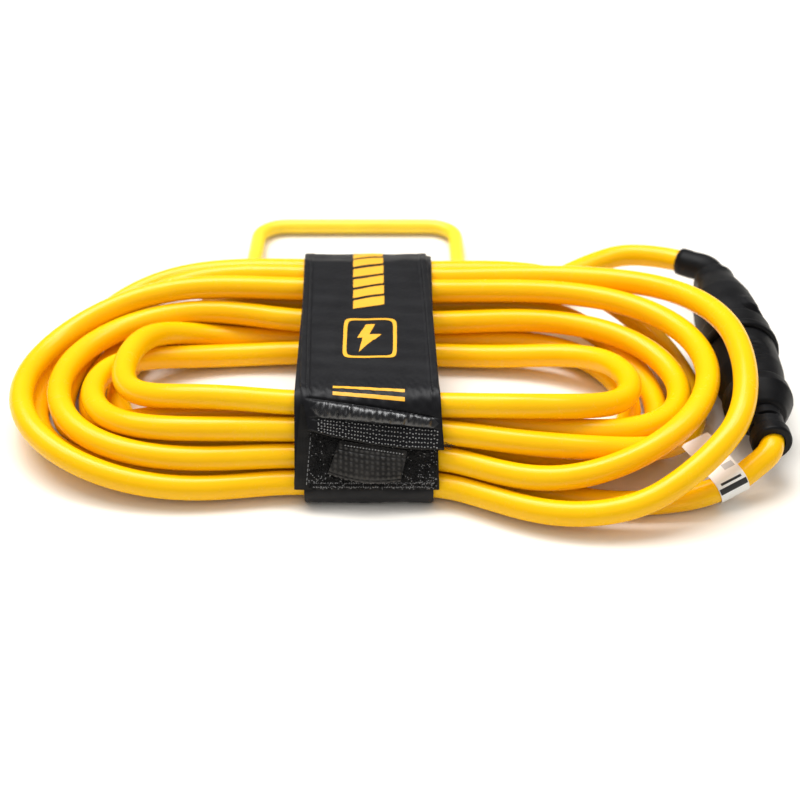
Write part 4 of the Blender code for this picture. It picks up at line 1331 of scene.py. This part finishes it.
def build_label():
    """A vinyl flag wrapped round the tail, with plain printed bars."""
    rows = np.nonzero(ON_TAIL)[0]
    k = rows[np.argmin(np.abs(LINE[rows, 0] - LABEL_X))]
    middle = LINE[k]
    run = unit(LINE[k + 1] - LINE[k - 1])
    lean = np.array([-0.42, 1.0, 0.02])
    flag = unit(lean - run * (lean @ run))
    up = np.cross(run, flag)
    r = CORD_R + 0.35
    wrap = np.radians(np.linspace(95, 400, 40))
    profile = [(LABEL_FLAG * (1 - f), r + 0.3 + 1.6 * math.sin(math.pi * f) * (1 - f))
               for f in np.linspace(0, 0.96, 20)]
    profile += [(r * math.cos(a), r * math.sin(a)) for a in wrap]
    profile = np.array(profile)
    step = np.gradient(profile, axis=0)
    out = unit(np.stack([step[:, 1], -step[:, 0]], 1))
    u = np.linspace(-LABEL_WIDTH / 2, LABEL_WIDTH / 2, 16)[None, :]
    s = arc_lengths(profile)[:, None]

    def place(p, o, across, h):
        a = p[..., 0] + o[..., 0] * h
        b = p[..., 1] + o[..., 1] * h
        return middle + flag * a[..., None] + up * b[..., None] + run * across[..., None]
    grid_p = profile[:, None, :] + 0 * u[..., None]
    grid_o = out[:, None, :] + 0 * u[..., None]
    across = u + 0 * s
    outer = place(grid_p, grid_o, across, 0.15 + 0 * across)
    inner = place(grid_p, grid_o, across, -0.15 + 0 * across)
    sheet = thick_grid("label_sheet", outer, inner, across, s + 0 * u, MATERIALS["label"])
    dress(sheet, "plug", "label_white", "label_flag")

    def patch(name, s0, s1, u0, u1, material):
        ss = np.linspace(s0, s1, 8)[:, None]
        uu = np.linspace(u0, u1, 6)[None, :]
        ss, uu = ss + 0 * uu, uu + 0 * ss
        p = np.stack([np.interp(ss, s[:, 0], profile[:, k]) for k in (0, 1)], -1)
        o = np.stack([np.interp(ss, s[:, 0], out[:, k]) for k in (0, 1)], -1)
        one = place(p, o, uu, LABEL_INK_H[1] + 0 * uu)
        two = place(p, o, uu, LABEL_INK_H[0] + 0 * uu)
        return thick_grid(name, one, two, uu, ss, material)
    dark = MATERIALS["label_ink"]
    bars = [patch("bar", 43.8, 45.4, -7.0, 7.5, dark), patch("bar", 47.0, 50.8, -9.6, 9.6, dark),
            patch("bar", 24.0, 24.8, -8.0, 4.0, dark), patch("bar", 21.6, 22.4, -8.0, 6.0, dark)]
    dress(join("label_bars", bars), "plug", "label_white")
    grey = patch("label_patch", 31.0, 36.0, 1.0, 8.5, MATERIALS["label_grey"])
    dress(grey, "plug", "label_white")


# ---------------------------------------------------------------- CAD nodes kept in view
def dress_cad_nodes():
    finishes = {"plug_bridge": "insert", "socket_insert": "insert"}
    for pole in CORE_ANGLES:
        finishes["socket_contact_" + pole] = "brass"
    for name in ("plug_blade_hot", "plug_blade_neutral", "plug_ground_pin"):
        finishes[name] = "brass"
    for name, finish_name in finishes.items():
        data = frame["nodes"][name].data
        data.materials.clear()
        data.materials.append(MATERIALS[finish_name])


# ---------------------------------------------------------------- stage
def area_light(name, place, aim, size, power):
    data = bpy.data.lights.new(name, "AREA")
    data.shape = "RECTANGLE"
    data.size, data.size_y = size
    data.energy = power
    ob = bpy.data.objects.new(name, data)
    ob.location = place
    ob.rotation_euler = (Vector(aim) - Vector(place)).to_track_quat("-Z", "Y").to_euler()
    bpy.context.scene.collection.objects.link(ob)


def build_stage():
    scene = bpy.context.scene
    started = begin("table")
    tree = started[1]
    grain = noise(tree, coordinates(tree), 3.0, 3.0)
    table = finish(started, mix(tree, grain, (0.95, 0.91, 0.84), (0.97, 0.93, 0.86)),
                   remap(tree, grain, 0.3, 0.36), **{"Specular IOR Level": 0.3})
    floor_z = CAD_BOX[0].z / MM - 0.1
    reach = 6000.0
    verts = [(-reach, -reach, floor_z), (reach, -reach, floor_z), (reach, reach, floor_z),
             (-reach, reach, floor_z)]
    floor = new_mesh("floor", np.array(verts), [[0, 1, 2, 3]], table)

    world = bpy.data.worlds.new("studio")
    scene.world = world
    world.use_nodes = True
    tree = world.node_tree
    back = tree.nodes["Background"]
    up = node(tree, "SeparateXYZ", {0: node(tree, "TexCoord", {}).outputs["Generated"]}).outputs[2]
    dome = remap(tree, up, 0.30, 0.70, 0.0, 0.8)
    rays = node(tree, "LightPath", {})
    dimmed = maths(tree, "MULTIPLY", dome, remap(tree, rays.outputs["Is Glossy Ray"], 1.0, 0.3,
                                                 0.0, 1.0))
    strength = maths(tree, "MAXIMUM", dimmed, rays.outputs["Is Camera Ray"])
    tree.links.new(strength, back.inputs["Strength"])
    back.inputs["Color"].default_value = (1.0, 1.0, 1.0, 1.0)
    area_light("overhead", (0.1, 0.35, 1.25), (0, 0, 0), (1.5, 0.35), 9)
    sun = bpy.data.lights.new("sun", "SUN")
    sun.energy = 2.1
    sun.angle = math.radians(45)
    lamp = bpy.data.objects.new("sun", sun)
    lamp.rotation_euler = Vector((-0.3, 0.35, 1.0)).to_track_quat("Z", "Y").to_euler()
    scene.collection.objects.link(lamp)

    lens = bpy.data.cameras.new("photo")
    lens.sensor_width = 36.0
    lens.lens = 85.5
    lens.dof.use_dof = True
    focus = bpy.data.objects.new("focus", None)
    focus.location = (0.0, -0.09, 0.045)
    scene.collection.objects.link(focus)
    lens.dof.focus_object = focus
    lens.dof.aperture_fstop = 7.5
    camera = bpy.data.objects.new("photo", lens)
    camera.location = (0.022, -1.047, 0.742)
    camera.rotation_euler = (math.radians(55.0), 0.0, 0.0)
    scene.collection.objects.link(camera)
    scene.camera = camera
    scene.view_settings.view_transform = "Standard"


# ---------------------------------------------------------------- whole scene
build_cord()
build_connectors()
build_band()
build_loop_panel()
build_hook_patch()
build_cover()
build_tab()
build_keeper()
build_handle()
build_label()
dress_cad_nodes()
build_stage()
